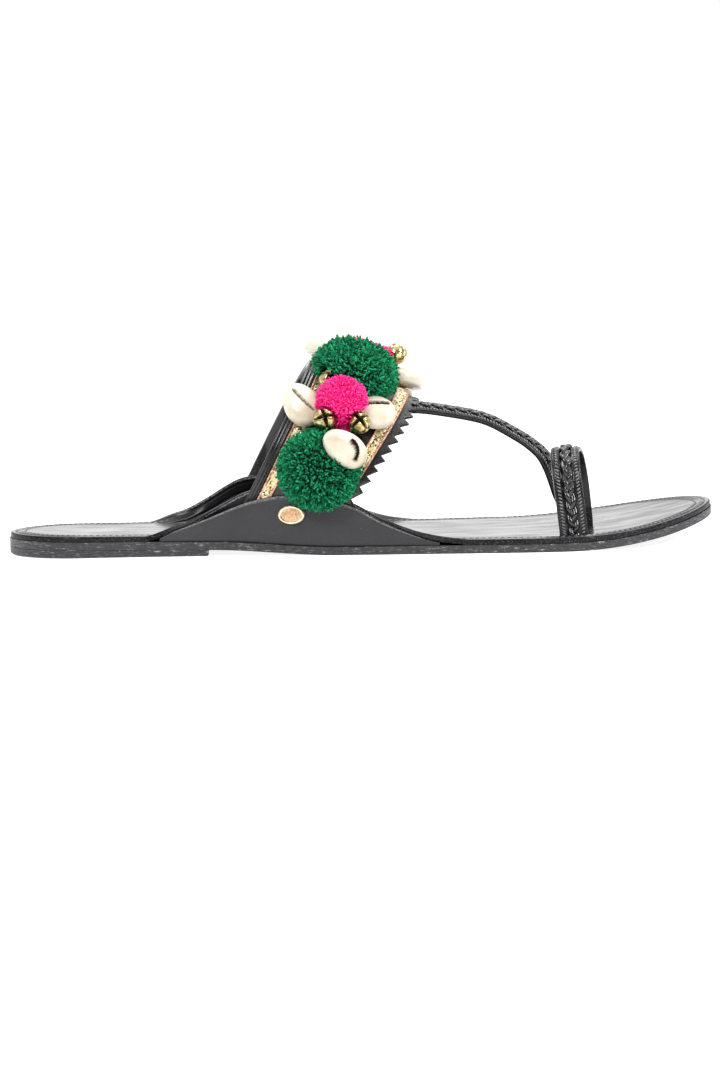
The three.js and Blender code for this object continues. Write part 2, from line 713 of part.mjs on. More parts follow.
// One leather upper, its feet trimmed a gap above the insole
function strapUpper() {
  const whole = solidOf(instepBand()).add(solidOf(toeStrap())).add(solidOf(toeLoop()));
  const ground = solidOf(insole().translate(0, 0, GAP));
  return geometryOf(whole.subtract(ground));
}

// A wool ball flattened underneath and clipped flat on top where it is grown past its height, with
// a lock of wool raised on each of its facets, or the smooth room that it takes with a clearance
function pompom({ radius, tall, grown, detail }, size, room = 0) {
  const ball = new THREE.IcosahedronGeometry(1, detail).attributes.position;
  const wide = radius * size + room;
  const height = tall * size + 2 * room;
  const low = height * POMPOM_WAIST;
  const shape = (n, reach) => {
    const z = n.z * (n.z > 0 ? grown * height - low : low) * reach + low;
    return new THREE.Vector3(n.x * wide * reach, n.y * wide * reach, Math.min(z, height) + GAP - room);
  };
  const list = [];
  for (let i = 0; i < ball.count; i += 3) {
    const corners = [0, 1, 2].map((k) => new THREE.Vector3().fromBufferAttribute(ball, i + k));
    const tip = shape(corners[0].clone().add(corners[1]).add(corners[2]).normalize(), 1);
    const base = corners.map((n) => shape(n, room ? 1 : 1 - TUFT_DEPTH));
    base.forEach((corner, k) => list.push([corner, base[(k + 1) % base.length], tip]));
  }
  return facets(list);
}

// One skin from loose triangles that share corners
function facets(list) {
  const positions = [];
  const triangles = [];
  const known = new Map();
  for (const p of list.flat()) {
    const key = p.toArray().map((v) => Math.round(v * MERGE_GRID)).join(' ');
    if (!known.has(key)) {
      known.set(key, positions.length / 3);
      positions.push(...p.toArray());
    }
    triangles.push(known.get(key));
  }
  const geometry = new THREE.BufferGeometry();
  geometry.setAttribute('position', new THREE.Float32BufferAttribute(positions, 3));
  geometry.setIndex(facingOut(positions, triangles));
  return geometry;
}

// A cowrie lying on its back, its slit up and along X, one end narrower than the other, or the room
// that it takes with a clearance all round
function cowrie(room = 0) {
  const rings = [];
  const count = room ? ROOM_SEGMENTS : SHELL_STATIONS;
  const tall = SHELL_HEIGHT + 2 * room;
  for (let i = 0; i <= count; i++) {
    const t = -Math.cos((i / count) * Math.PI);
    const round = Math.sqrt(Math.max(0, 1 - t * t));
    const half = (SHELL_WIDTH / 2 + room) * round * (1 + SHELL_TAPER * t);
    const high = tall * round ** SHELL_DOME;
    const lift = GAP - room + (tall - high) * SHELL_BELLY;
    const slit = Math.min(SHELL_SLIT / 2, half / 3);
    const point = (y, up) => new THREE.Vector3(t * (SHELL_LENGTH / 2 + room), y, lift + up * high);
    const left = SHELL_SECTION.map((row) => point(-row.across * half, row.up));
    const right = SHELL_SECTION.map((row) => point(row.across * half, row.up)).reverse();
    rings.push([...left, point(-slit, 1), point(0, room ? 1 : SLIT_FLOOR), point(slit, 1), ...right]);
  }
  return loft(rings);
}

// A bell's round body, or the room that it takes with a clearance all round
function bellBody(room = 0) {
  const ball = new THREE.SphereGeometry(BELL_RADIUS + room, BELL_SEGMENTS, BELL_SEGMENTS / 2 + 1);
  ball.rotateX(Math.PI / 2);
  ball.translate(0, 0, BELL_RADIUS + GAP);
  return merged(ball);
}

// A round brass bell with a crossed slit in the side away from the strap
function bell() {
  const slit = (x, y) => {
    const box = new THREE.BoxGeometry(x, y, BELL_RADIUS);
    box.translate(0, 0, BELL_RADIUS * 2 + GAP);
    return solidOf(merged(box));
  };
  const crossed = slit(BELL_SLIT, FAR).add(slit(FAR, BELL_SLIT));
  return geometryOf(solidOf(bellBody()).subtract(crossed));
}

// A closed geometry with one vertex at each corner
function merged(geometry) {
  const p = geometry.attributes.position;
  const index = geometry.index.array;
  const corner = (i) => new THREE.Vector3().fromBufferAttribute(p, i);
  const list = [];
  for (let i = 0; i < index.length; i += 3) {
    const [a, b, c] = [corner(index[i]), corner(index[i + 1]), corner(index[i + 2])];
    const area = b.clone().sub(a).cross(c.clone().sub(a)).length();
    if (area > 1 / MERGE_GRID) list.push([a, b, c]);
  }
  return facets(list);
}

// An oval rivet head, domed, with a flat back
function rivet() {
  const profile = RIVET_PROFILE.map((row) => new THREE.Vector2(row.out, row.up * RIVET_HEIGHT));
  const head = new THREE.LatheGeometry(profile, RIVET_SEGMENTS);
  head.rotateX(Math.PI / 2);
  head.scale(RIVET_LENGTH / 2, RIVET_WIDTH / 2, 1);
  return merged(head);
}

// Assembly
const sandal = new THREE.Group();
sandal.position.x = -ORIGIN_FROM_HEEL;

function add(name, geometry, finish) {
  const mesh = new THREE.Mesh(geometry, new THREE.MeshStandardMaterial(finish));
  mesh.name = name;
  sandal.add(mesh);
  return mesh;
}

// Sets a piece on the strap's outer face, its own +Z outward
function seat(piece, { arch, across, turn = 0, roll = 0 }, height) {
  const { point, out, forward, aside } = strapFrame(arch, across, STRAP_THICKNESS + height);
  piece.position.copy(point);
  piece.quaternion.setFromRotationMatrix(new THREE.Matrix4().makeBasis(forward, aside, out));
  piece.rotateZ(degToRad(turn));
  piece.rotateX(degToRad(roll));
  piece.updateMatrix();
}

// A geometry where the piece that it belongs to is seated
const seated = (geometry, piece) => geometry.clone().applyMatrix4(piece.matrix);

const floor = () => 0;
const liftTop = (x, y) => underside(x, y) - GAP;
const outsoleTop = (x, y) => underside(x, y) + OUTSOLE_THICKNESS;
const edges = { low: EDGE_ROUND, high: EDGE_ROUND };

add('heel_lift', plate(LIFT_LENGTH, 0, floor, liftTop, { low: LIFT_ROUND, high: EDGE_ROUND }), BLACK_SOLE);
add('outsole', plate(SOLE_LENGTH, 0, underside, outsoleTop, edges), BLACK_SOLE);
add('insole', insole(), BLACK_SOLE);
add('ear_flap_inner', earFlap(INNER), GREY_FLAP);
add('ear_flap_outer', earFlap(OUTER), GREY_FLAP);
add('strap_upper', strapUpper(), BLACK_STRAP);
add('trim_gold_rear', trim((share, d, h) => onStrap(share, REAR_BORDER + d, null, h)), GOLD_RIBBON);
add('trim_gold_front', trim((share, d, h) => onStrap(share, null, d, h)), GOLD_RIBBON);

// Shells and bells first, because the wool makes room for them
const rooms = [];
SHELLS.forEach((place, i) => {
  const shell = add(`cowrie_${i + 1}`, cowrie(), COWRIE);
  seat(shell, place, GAP + TRIM_THICKNESS + place.rise * SHELL_HEIGHT);
  rooms.push(solidOf(seated(cowrie(2 * GAP), shell)));
});
BELLS.forEach((place, i) => {
  const brass = add(`bell_${i + 1}`, bell(), BRASS);
  seat(brass, place, place.rise * BELL_RADIUS);
  rooms.push(solidOf(seated(bellBody(2 * GAP), brass)));
});

// A pompom on the strap, pressed in where a shell, a bell or another pompom lies in its wool, with
// any lock that this cuts free trimmed away
function wool(name, kind, place, finish) {
  const ball = pompom(kind, place.size);
  const mesh = add(name, ball, finish);
  seat(mesh, place, 0);
  const pressed = rooms.reduce((rest, room) => rest.subtract(room), solidOf(seated(ball, mesh)));
  const body = pressed.decompose().reduce((a, b) => (b.volume() > a.volume() ? b : a));
  mesh.geometry = geometryOf(body).applyMatrix4(mesh.matrix.clone().invert());
  return solidOf(seated(pompom(kind, place.size, 2 * GAP), mesh));
}

const pinks = PINK_POMPOMS.map((place, i) => wool(`pompom_pink_${i + 1}`, PINK, place, PINK_WOOL));
rooms.push(...pinks);
GREEN_POMPOMS.forEach((place, i) => wool(`pompom_green_${i + 1}`, GREEN, place, GREEN_WOOL));

for (const side of [INNER, OUTER]) {
  const name = side === INNER ? 'rivet_inner' : 'rivet_outer';
  const head = add(name, rivet(), COPPER_GOLD);
  const face = (x) => spine(x) + side * flapFace(side, x);
  const slope = Math.atan2(face(RIVET_FROM_HEEL + 1) - face(RIVET_FROM_HEEL - 1), 2);
  head.position.set(RIVET_FROM_HEEL, face(RIVET_FROM_HEEL) + side * GAP, RIVET_UP);
  head.rotation.set(-side * Math.PI / 2, 0, slope, 'ZXY');
}

export default sandal;
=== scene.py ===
import bmesh
import bpy
import numpy as np
from mathutils import Matrix, Vector


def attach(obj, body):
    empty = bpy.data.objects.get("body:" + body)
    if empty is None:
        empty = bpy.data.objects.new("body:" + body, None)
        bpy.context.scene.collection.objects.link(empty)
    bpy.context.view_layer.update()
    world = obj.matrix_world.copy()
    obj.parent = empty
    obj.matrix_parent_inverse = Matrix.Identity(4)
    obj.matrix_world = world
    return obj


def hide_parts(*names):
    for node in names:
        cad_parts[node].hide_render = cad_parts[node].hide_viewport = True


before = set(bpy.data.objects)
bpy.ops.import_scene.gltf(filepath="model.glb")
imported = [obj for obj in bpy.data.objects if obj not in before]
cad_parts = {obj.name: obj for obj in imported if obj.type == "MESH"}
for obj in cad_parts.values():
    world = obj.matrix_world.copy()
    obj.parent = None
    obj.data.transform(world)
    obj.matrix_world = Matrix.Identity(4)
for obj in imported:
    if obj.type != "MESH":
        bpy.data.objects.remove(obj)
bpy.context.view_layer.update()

# Camera and studio. The sandal is seen from its inner side, a little from above and a little from
# the heel end, turned so that the toe is higher in the picture. A white backdrop and ceiling light
# it softly, the room in front is dimmer, and soft boxes draw the gloss of the leather.
VIEW_AZIMUTH, VIEW_ELEVATION, VIEW_ROLL = np.radians([-3.5, 5.6, -1.1])
VIEW_DISTANCE = 1.0
AIM = np.array([0.09269, 0.0, 0.0016])

back = np.array([
    np.sin(VIEW_AZIMUTH) * np.cos(VIEW_ELEVATION),
    -np.cos(VIEW_AZIMUTH) * np.cos(VIEW_ELEVATION),
    np.sin(VIEW_ELEVATION),
])
right = np.array([np.cos(VIEW_AZIMUTH), np.sin(VIEW_AZIMUTH), 0.0])
up = np.cross(back, right)
rolled_right = np.cos(VIEW_ROLL) * right + np.sin(VIEW_ROLL) * up
rolled_up = np.cross(back, rolled_right)
camera = bpy.data.objects.new("camera", bpy.data.cameras.new("camera"))
camera.data.lens = 91.46
camera.matrix_world = Matrix.LocRotScale(
    AIM + VIEW_DISTANCE * back,
    Matrix(np.column_stack([rolled_right, rolled_up, back]).tolist()),
    None,
)
bpy.context.scene.collection.objects.link(camera)
bpy.context.scene.camera = camera
bpy.context.scene.view_settings.view_transform = "Standard"

# The room is brighter the further a direction points up and away from the photo's side
room = bpy.data.worlds.new("white_room")
room.use_nodes = True
room_tree = room.node_tree
background = room_tree.nodes["Background"]
background.inputs["Color"].default_value = (1.0, 1.0, 1.0, 1.0)
room_way = room_tree.nodes.new("ShaderNodeTexCoord")
room_lift = room_tree.nodes.new("ShaderNodeVectorMath")
room_lift.operation = "DOT_PRODUCT"
room_lift.inputs[1].default_value = (0.0, 1.0, 1.3)
room_white = room_tree.nodes.new("ShaderNodeMapRange")
for socket, number in (("From Min", -0.2), ("From Max", 0.6), ("To Min", 0.12), ("To Max", 1.08)):
    room_white.inputs[socket].default_value = number
room_tree.links.new(room_way.outputs["Generated"], room_lift.inputs[0])
room_tree.links.new(room_lift.outputs["Value"], room_white.inputs["Value"])
room_tree.links.new(room_white.outputs["Result"], background.inputs["Strength"])
bpy.context.scene.world = room


def soft_box(name, place, target, width, power):
    """A square soft box at a place, facing a target, both in metres."""
    lamp = bpy.data.lights.new(name, "AREA")
    lamp.size = width
    lamp.energy = power
    box = bpy.data.objects.new(name, lamp)
    facing = (Vector(target) - Vector(place)).to_track_quat("-Z", "Y")
    box.matrix_world = Matrix.LocRotScale(place, facing, None)
    bpy.context.scene.collection.objects.link(box)


soft_box("overhead_light", (0.1, 0.22, 1.0), (0.1, 0.0, 0.0), 0.5, 5.0)
soft_box("front_light", (-0.45, -0.9, 0.75), (0.08, 0.0, 0.03), 0.34, 6.5)
soft_box("toe_light", (0.85, -0.45, 0.6), (0.1, 0.0, 0.03), 0.3, 6.0)

floor_mesh = bpy.data.meshes.new("floor")
floor_mesh.from_pydata([(-6, -6, 0), (6, -6, 0), (6, 6, 0), (-6, 6, 0)], [], [(0, 1, 2, 3)])
floor = bpy.data.objects.new("floor", floor_mesh)
bpy.context.scene.collection.objects.link(floor)
floor_paint = bpy.data.materials.new("pale_floor")
floor_paint.use_nodes = True
floor_shader = floor_paint.node_tree.nodes["Principled BSDF"]
for socket, value in (("Base Color", (0.5, 0.5, 0.5, 1)), ("Roughness", 1.0), ("Specular IOR Level", 0.0),
                      ("Emission Color", (1.0, 1.0, 1.0, 1)), ("Emission Strength", 0.87)):
    floor_shader.inputs[socket].default_value = value
floor_mesh.materials.append(floor_paint)


# Heel lift. A short wedge of stacked sole leather under the heel, thicker at the back and cut
# straight across at its breast. Its edge is trimmed, inked black and burnished. It is glued on.
GAP = 0.3
HEEL_TO_ORIGIN = 34.0
SOLE_LENGTH = 255.0
BALL_WIDTH = 89.0
HEEL_ROUND, HEEL_CURVE = 27.0, 2.0
TOE_ROUND, TOE_CURVE_INNER, TOE_CURVE_OUTER = 50.0, 1.7, 2.1
TOE_TURN = 4.0
LIFT_BACK, LIFT_BREAST, LIFT_LENGTH = 2.9, 1.9, 71.5
LIFT_ROUND, EDGE_ROUND = 1.4, 0.5
GLUE, SEAM_ROUND = 0.03, 0.12
INNER, OUTER = -1, 1
# Half widths from the sole's middle line as shares of the ball width, along the sole's length
OUTLINE_ALONG = np.array([0.0, 0.13, 0.28, 0.43, 0.59, 0.73, 0.82, 1.0])
OUTLINE_INNER = np.array([0.295, 0.298, 0.328, 0.398, 0.446, 0.478, 0.462, 0.44])
OUTLINE_OUTER = np.array([0.315, 0.32, 0.372, 0.434, 0.489, 0.522, 0.518, 0.5])


def smooth(t):
    """A share from 0 to 1 that starts and ends slowly: three t squared less two t cubed."""
    return t * t * (3 - 2 * t)


def through(along, values, at):
    """A table read at any place, on cubic curves through its rows. The slope at a row is the
    rise from the row before it to the row after it."""
    at = np.clip(at, along[0], along[-1])
    k = np.clip(np.searchsorted(along, at) - 1, 0, len(along) - 2)
    before = np.maximum(np.arange(len(along)) - 1, 0)
    after = np.minimum(np.arange(len(along)) + 1, len(along) - 1)
    slope = (values[after] - values[before]) / (along[after] - along[before])
    span = along[k + 1] - along[k]
    u = (at - along[k]) / span
    straight = values[k] + (values[k + 1] - values[k]) * smooth(u)
    return straight + (1 - u) * u * span * ((1 - u) * slope[k] - u * slope[k + 1])


def spine(x):
    """Sideways place of the sole's middle line, which turns inward towards the toe."""
    return -TOE_TURN * smooth(np.clip(x / SOLE_LENGTH, 0, 1) ** 2)


def half_width(side, x):
    """Distance from the middle line to the sole's edge before its ends are rounded."""
    table = OUTLINE_INNER if side == INNER else OUTLINE_OUTER
    return through(OUTLINE_ALONG, table, x / SOLE_LENGTH) * BALL_WIDTH


def edge_round(side, x):
    """Share of the half width that is left at a place: a superellipse at the heel and the toe."""
    power = TOE_CURVE_INNER if side == INNER else TOE_CURVE_OUTER
    heel = np.clip(1 - x / HEEL_ROUND, 0, 1)
    toe = np.clip(1 - (SOLE_LENGTH - x) / TOE_ROUND, 0, 1)
    at_heel = (1 - heel**HEEL_CURVE) ** (1 / HEEL_CURVE)
    return at_heel * (1 - toe**power) ** (1 / power)


WAIST_LENGTH = 46.0
TOE_SPRING, SPRING_LENGTH, SPRING_CURVE, SPRING_SKEW = 9.5, 65.0, 1.8, 0.15


def underside(x, y):
    """Height of the outsole's underside: on the lift, down the waist to the floor, up at the toe."""
    on_lift = LIFT_BACK + (LIFT_BREAST - LIFT_BACK) * x / LIFT_LENGTH + GAP
    down = smooth(np.clip((x - LIFT_LENGTH) / WAIST_LENGTH, 0, 1))
    sprung = (x + SPRING_SKEW * y - (SOLE_LENGTH - SPRING_LENGTH)) / SPRING_LENGTH
    rise = TOE_SPRING * np.maximum(0, sprung) ** SPRING_CURVE
    return np.where(x < LIFT_LENGTH, on_lift, (LIFT_BREAST + GAP) * (1 - down) + rise)


def outline(end, count):
    """The sole's outline as places from the heel round both sides: x crowds towards both ends as
    a cosine does, out along the inner side and back along the outer side."""
    x = end * (1 - np.cos(np.linspace(0, np.pi, count))) / 2
    inner = spine(x) - half_width(INNER, x) * edge_round(INNER, x)
    outer = spine(x) + half_width(OUTER, x) * edge_round(OUTER, x)
    return x, inner, outer


def grid_faces(grid, closed_rows=False, closed_columns=False):
    """Quads between neighbouring points of a grid, joined round where it closes on itself."""
    rows, columns = grid.shape[:2]
    r = np.arange(rows if closed_rows else rows - 1)
    c = np.arange(columns if closed_columns else columns - 1)
    r, c = (m.ravel() for m in np.meshgrid(r, c, indexing="ij"))
    r_next, c_next = (r + 1) % rows, (c + 1) % columns
    return np.column_stack([
        r * columns + c, r_next * columns + c, r_next * columns + c_next, r * columns + c_next,
    ])


def piece(name, points, faces, finish, nodes=(), values=None, turn_out=True):
    """A piece of the sandal from points in millimetres from the back of the heel and faces of point
    numbers. Doubled points are merged, so that seams and poles close, and faces turned outward."""
    mesh = bpy.data.meshes.new(name)
    place = (points.reshape(-1, 3) - [HEEL_TO_ORIGIN, 0, 0]) * 0.001
    mesh.from_pydata(place.tolist(), [], faces if isinstance(faces, list) else faces.tolist())
    for label, value in (values or {}).items():
        layer = mesh.attributes.new(label, "FLOAT", "POINT")
        layer.data.foreach_set("value", np.ascontiguousarray(value, dtype=np.float32).ravel())
    if turn_out:
        work = bmesh.new()
        work.from_mesh(mesh)
        bmesh.ops.remove_doubles(work, verts=work.verts, dist=2e-6)
        bmesh.ops.dissolve_degenerate(work, edges=work.edges, dist=1e-7)
        bmesh.ops.recalc_face_normals(work, faces=work.faces)
        work.to_mesh(mesh)
        work.free()
    mesh.polygons.foreach_set("use_smooth", np.ones(len(mesh.polygons), dtype=bool))
    mesh.materials.append(finish)
    made = bpy.data.objects.new(name, mesh)
    bpy.context.scene.collection.objects.link(made)
    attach(made, "root")
    if nodes:
        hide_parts(*nodes)
    return made


def slab(x, y, middle_from, middle_to, inset, share):
    """Flat places of a slab's section rows. From each place of its outline a line runs in to the
    nearest place of the middle line. A row lies an inset from the edge, and from there a share of
    the rest of the line."""
    core_x = np.clip(x, middle_from, middle_to)
    core_y = spine(core_x)
    reach = np.hypot(core_x - x, core_y - y)
    way = (inset[None, :] + share[None, :] * (reach[:, None] - inset[None, :])) / reach[:, None]
    flat_x = x[:, None] + way * (core_x - x)[:, None]
    flat_y = y[:, None] + way * (core_y - y)[:, None]
    return flat_x, flat_y


class Finish:
    """A material with one principled shader and the nodes that feed it. Textures lie on object
    coordinates, at scales in repeats per metre. A value is a node's output or a number."""

    def __init__(self, name, colour, roughness, **sockets):
        self.made = bpy.data.materials.new(name)
        self.made.use_nodes = True
        self.tree = self.made.node_tree
        self.shader = self.tree.nodes["Principled BSDF"]
        self.fill(self.shader, Base_Color=(*colour, 1), Roughness=roughness, **sockets)

    def fill(self, node, **sockets):
        """Set each named socket to a number or colour, or join it to an output."""
        for name, value in sockets.items():
            socket = node.inputs[name.replace("_", " ")]
            if isinstance(value, bpy.types.NodeSocket):
                self.tree.links.new(value, socket)
            else:
                socket.default_value = value

    def feed(self, **sockets):
        """Set or join sockets of the shader."""
        self.fill(self.shader, **sockets)

    def node(self, kind, option=None, choice=None, **sockets):
        """A node of a kind with its sockets filled, and one option chosen first."""
        made = self.tree.nodes.new("ShaderNode" + kind)
        if option:
            setattr(made, option, choice)
        self.fill(made, **sockets)
        return made

    def places(self):
        """Object coordinates."""
        return self.node("TexCoord").outputs["Object"]

    def noise(self, scale, detail, rough=0.5, warp=0.0, squeeze=None):
        """Cloudy noise from 0 to 1, drawn out along the axes whose squeeze is below one."""
        at = self.places()
        if squeeze:
            at = self.node("Mapping", Vector=at, Scale=squeeze).outputs["Vector"]
        made = self.node("TexNoise", Vector=at, Scale=scale, Detail=detail, Roughness=rough,
                         Distortion=warp)
        return made.outputs["Fac"]

    def cells(self, scale):
        """Distance to the middle of the nearest of many scattered cells."""
        return self.node("TexVoronoi", Vector=self.places(), Scale=scale).outputs["Distance"]

    def stored(self, name):
        """A value stored in the mesh."""
        return self.node("Attribute", "attribute_name", name).outputs["Fac"]

    def math(self, kind, *values):
        """The sum, product or other result of values, taken from left to right."""
        result = values[0]
        for value in values[1:]:
            made = self.node("Math", "operation", kind)
            for socket, term in zip(made.inputs, (result, value)):
                if isinstance(term, bpy.types.NodeSocket):
                    self.tree.links.new(term, socket)
                else:
                    socket.default_value = term
            result = made.outputs[0]
        return result

    def times(self, *values):
        """The product of values."""
        return self.math("MULTIPLY", *values)

    def span(self, value, low, high, to_low=0.0, to_high=1.0):
        """A value moved from one range to another, and held inside the second."""
        made = self.node("MapRange", Value=value, From_Min=low, From_Max=high, To_Min=to_low,
                         To_Max=to_high)
        return made.outputs["Result"]

    def ridge(self, value, middle, half):
        """One at a middle value, falling evenly to nothing at a half width to each side."""
        away = self.math("ABSOLUTE", self.math("SUBTRACT", value, middle), 0.0)
        return self.span(away, 0.0, half, 1.0, 0.0)

    def ramp(self, value, *stops):
        """A value turned into colours by stops of place and colour."""
        made = self.node("ValToRGB", Fac=value)
        elements = made.color_ramp.elements
        while len(elements) < len(stops):
            elements.new(0.5)
        for element, (place, colour) in zip(elements, stops):
            element.position, element.color = place, (*colour, 1)
        return made.outputs["Color"]

    def blend(self, share, first, second):
        """A colour between two, each an output or a colour, by a share from 0 to 1."""
        ends = [(*end, 1) if isinstance(end, tuple) else end for end in (first, second)]
        made = self.node("Mix", "data_type", "RGBA", Factor=share, A=ends[0], B=ends[1])
        return made.outputs["Result"]

    def bump(self, height, depth):
        """Bumps of a depth in metres from a height of 0 to 1."""
        self.feed(Normal=self.node("Bump", Height=height, Distance=depth).outputs["Normal"])


def capped(points):
    """The faces of rings that close on themselves, with a flat cap on each end."""
    rings, count = points.shape[:2]
    walls = grid_faces(points, closed_columns=True).tolist()
    return walls + [list(range(count)), list(range((rings - 1) * count, rings * count))]


def inked_edge(name, layers):
    """Trimmed edge of black sole leather: faint layers lie along it. Where it is rubbed, the ink is
    scuffed to grey in short level streaks and pale specks."""
    edge = Finish(name, (0.03, 0.03, 0.033), 0.42, Specular_IOR_Level=0.42)
    fibres, specks = edge.noise(700, 6, 0.65), edge.noise(2600, 4, 0.7)
    streaks = edge.noise(2200, 4, squeeze=(0.12, 0.12, 1.0))
    bands = edge.node("TexWave", "bands_direction", "Z", Vector=edge.places(), Scale=layers,
                      Distortion=3.0, Detail=3).outputs["Fac"]
    wear = edge.times(edge.span(fibres, 0.45, 0.7), edge.span(specks, 0.5, 0.7))
    scuffs = edge.times(edge.span(streaks, 0.52, 0.66, 0, 0.75), edge.span(fibres, 0.42, 0.6, 0.1, 1))
    ink = edge.ramp(edge.math("MAXIMUM", wear, scuffs), (0, (0.03, 0.03, 0.034)),
                    (0.3, (0.08, 0.08, 0.086)), (1, (0.48, 0.48, 0.5)))
    edge.feed(Base_Color=ink, Roughness=edge.span(fibres, 0.35, 0.65, 0.26, 0.6))
    edge.bump(edge.math("ADD", edge.times(bands, 0.4), specks, streaks), 0.00028)
    return edge.made


lift_x, lift_inner, lift_outer = outline(LIFT_LENGTH, 110)
breast_y = np.linspace(lift_inner[-1], lift_outer[-1], 40)[1:-1]
ring_x = np.concatenate([lift_x, np.full(breast_y.size, LIFT_LENGTH), lift_x[::-1]])
ring_y = np.concatenate([lift_inner, breast_y, lift_outer[::-1]])


def plate(ring_x, ring_y, middle, low, high, low_round, high_round):
    """A plate between two heights: its section goes in under the bottom, out to the edge, round two
    quarter circles and the edge between them, and in over the top. A row of the section is its
    distance in, the share past that, and the height from the lower or, where marked, upper face."""
    quarter = np.linspace(0, np.pi / 2, 6)
    flat = 12
    rows = [(0, 1, 0, False), (flat, 0, 0, False)]
    rows += [(low_round * (1 - np.sin(a)), 0, low_round * (1 - np.cos(a)), False) for a in quarter]
    rows += [(high_round * (1 - np.cos(a)), 0, -high_round * (1 - np.sin(a)), True) for a in quarter]
    rows += [(flat, 0, 0, True), (0, 1, 0, True)]
    inset, share, lift, upper = (np.array(column) for column in zip(*rows))
    flat_x, flat_y = slab(ring_x, ring_y, *middle, inset, share)
    z = np.where(upper, high(flat_x, flat_y), low(flat_x, flat_y)) + lift
    return np.stack([flat_x, flat_y, z], axis=-1)


LIFT_MIDDLE = (HEEL_ROUND, LIFT_LENGTH - 25)
lift_points = plate(ring_x, ring_y, LIFT_MIDDLE, lambda x, y: 0 * x,
                    lambda x, y: underside(np.minimum(x, LIFT_LENGTH - 0.01), y) - GLUE,
                    LIFT_ROUND, SEAM_ROUND)
piece("heel_lift_leather", lift_points, grid_faces(lift_points, closed_rows=True),
      inked_edge("lift_leather", 700), ["heel_lift"])


# Outsole. One sole of thick leather with a little toe spring, flat on the floor under the ball of
# the foot. Its edge is trimmed with the insole, inked black and burnished.
OUTSOLE_THICKNESS = 2.6
sole_x, sole_inner, sole_outer = outline(SOLE_LENGTH, 260)
ring_x = np.concatenate([sole_x, sole_x[-2:0:-1]])
ring_y = np.concatenate([sole_inner, sole_outer[-2:0:-1]])
SOLE_MIDDLE = (HEEL_ROUND, SOLE_LENGTH - 42)
outsole_points = plate(ring_x, ring_y, SOLE_MIDDLE, underside,
                       lambda x, y: underside(x, y) + OUTSOLE_THICKNESS + GAP - GLUE,
                       SEAM_ROUND, SEAM_ROUND)
piece("outsole_leather", outsole_points, grid_faces(outsole_points, closed_rows=True),
      inked_edge("outsole_leather", 500), ["outsole"])


# Insole. The top sole of glossy black leather, cut wider beside the instep, where its edges are
# wetted and turned up as the inner walls of the two ears. Its border is tooled and chain stitched.
INSOLE_THICKNESS, INSOLE_INSET = 2.0, 0.4
EAR_BACK, EAR_STRIP, EAR_BEND = 49.0, 22.3, 4.0
EAR_LENGTH = {INNER: 114.0, OUTER: 104.0}
FLAP_THICKNESS, FLAP_LEDGE, FLAP_DROP = 1.5, 0.8, 3.2
TRIM_THICKNESS, STRAP_THICKNESS = 0.8, 2.0
POCKET_DEPTH = GAP + TRIM_THICKNESS + GAP + STRAP_THICKNESS
# Along the ear: width of the strip that turns as a share of the ear strip, its turn as a share of
# a right angle, how far it stands in to hold the strap, and how far the flap stops below it
EAR_ALONG = np.array([0, 0.075, 0.145, 0.217, 0.33, 0.42, 0.5, 0.56, 0.64, 0.725, 0.795, 0.877, 1])
STRIP = np.array([0.13, 0.305, 0.426, 0.61, 0.915, 1, 0.982, 0.91, 0.78, 0.538, 0.386, 0.256, 0.13])
TURN = np.array([0, 0.42, 0.64, 0.84, 0.98, 1, 1, 1, 0.98, 0.8, 0.61, 0.33, 0])
POCKET = np.array([0, 0, 0.45, 1, 1, 1, 1, 1, 1, 1, 0.5, 0, 0])
DROP = np.array([0.1, 0.1, 0.1, 0.5, 1, 0.8, 0.6, 0.45, 0.25, 0.15, 0.1, 0.1, 0.1])


def flap_face(side, x):
    """Distance of an ear's outer face from the middle line, a ledge in from the sole's edge."""
    return half_width(side, x) * edge_round(side, x) - FLAP_LEDGE


def turned_strip(side, x):
    """Where the turned-up strip starts to bend, its width and its turn. Where it is upright, it
    stands in from the flap by the room that strap and ribbon need."""
    u = (x - EAR_BACK) / EAR_LENGTH[side]
    half = edge_round(side, x) * (half_width(side, x) - INSOLE_INSET)
    strip = np.minimum(through(EAR_ALONG, STRIP, u) * EAR_STRIP, half)
    turn = np.pi / 2 * np.clip(through(EAR_ALONG, TURN, u), 0, 1)
    pocket = np.clip(through(EAR_ALONG, POCKET, u), 0, 1) * POCKET_DEPTH
    reach = EAR_BEND * np.sin(turn) + np.maximum(0, strip - EAR_BEND * turn) * np.cos(turn)
    upright = flap_face(side, x) - FLAP_THICKNESS - GAP - pocket - reach
    start = half - strip + (upright - half + strip) * smooth(turn / (np.pi / 2))
    return start, strip, turn


def insole_under(x, y):
    """Height of the insole's underside, a gap above the outsole."""
    return underside(x, y) + OUTSOLE_THICKNESS + GAP


def folded(side, x, out, depth):
    """A place of the cut leather once its edge is turned up. Out is its distance from the middle line
    along the leather: straight to the bend, round an arc, and straight on at the turn's angle. Depth
    is its distance in from the lower or outer face."""
    start, _, turn = turned_strip(side, x)
    past = np.maximum(0, out - start)
    angle = np.minimum(past / EAR_BEND, turn)
    rest = np.maximum(0, past - EAR_BEND * turn)
    over = (EAR_BEND - depth) * np.sin(angle) + rest * np.cos(turn)
    y = spine(x) + side * (np.minimum(out, start) + over)
    foot = insole_under(x, spine(x) + side * np.minimum(out, start))
    z = foot + EAR_BEND - (EAR_BEND - depth) * np.cos(angle) + rest * np.sin(turn)
    return np.stack([x, y, z], axis=-1)


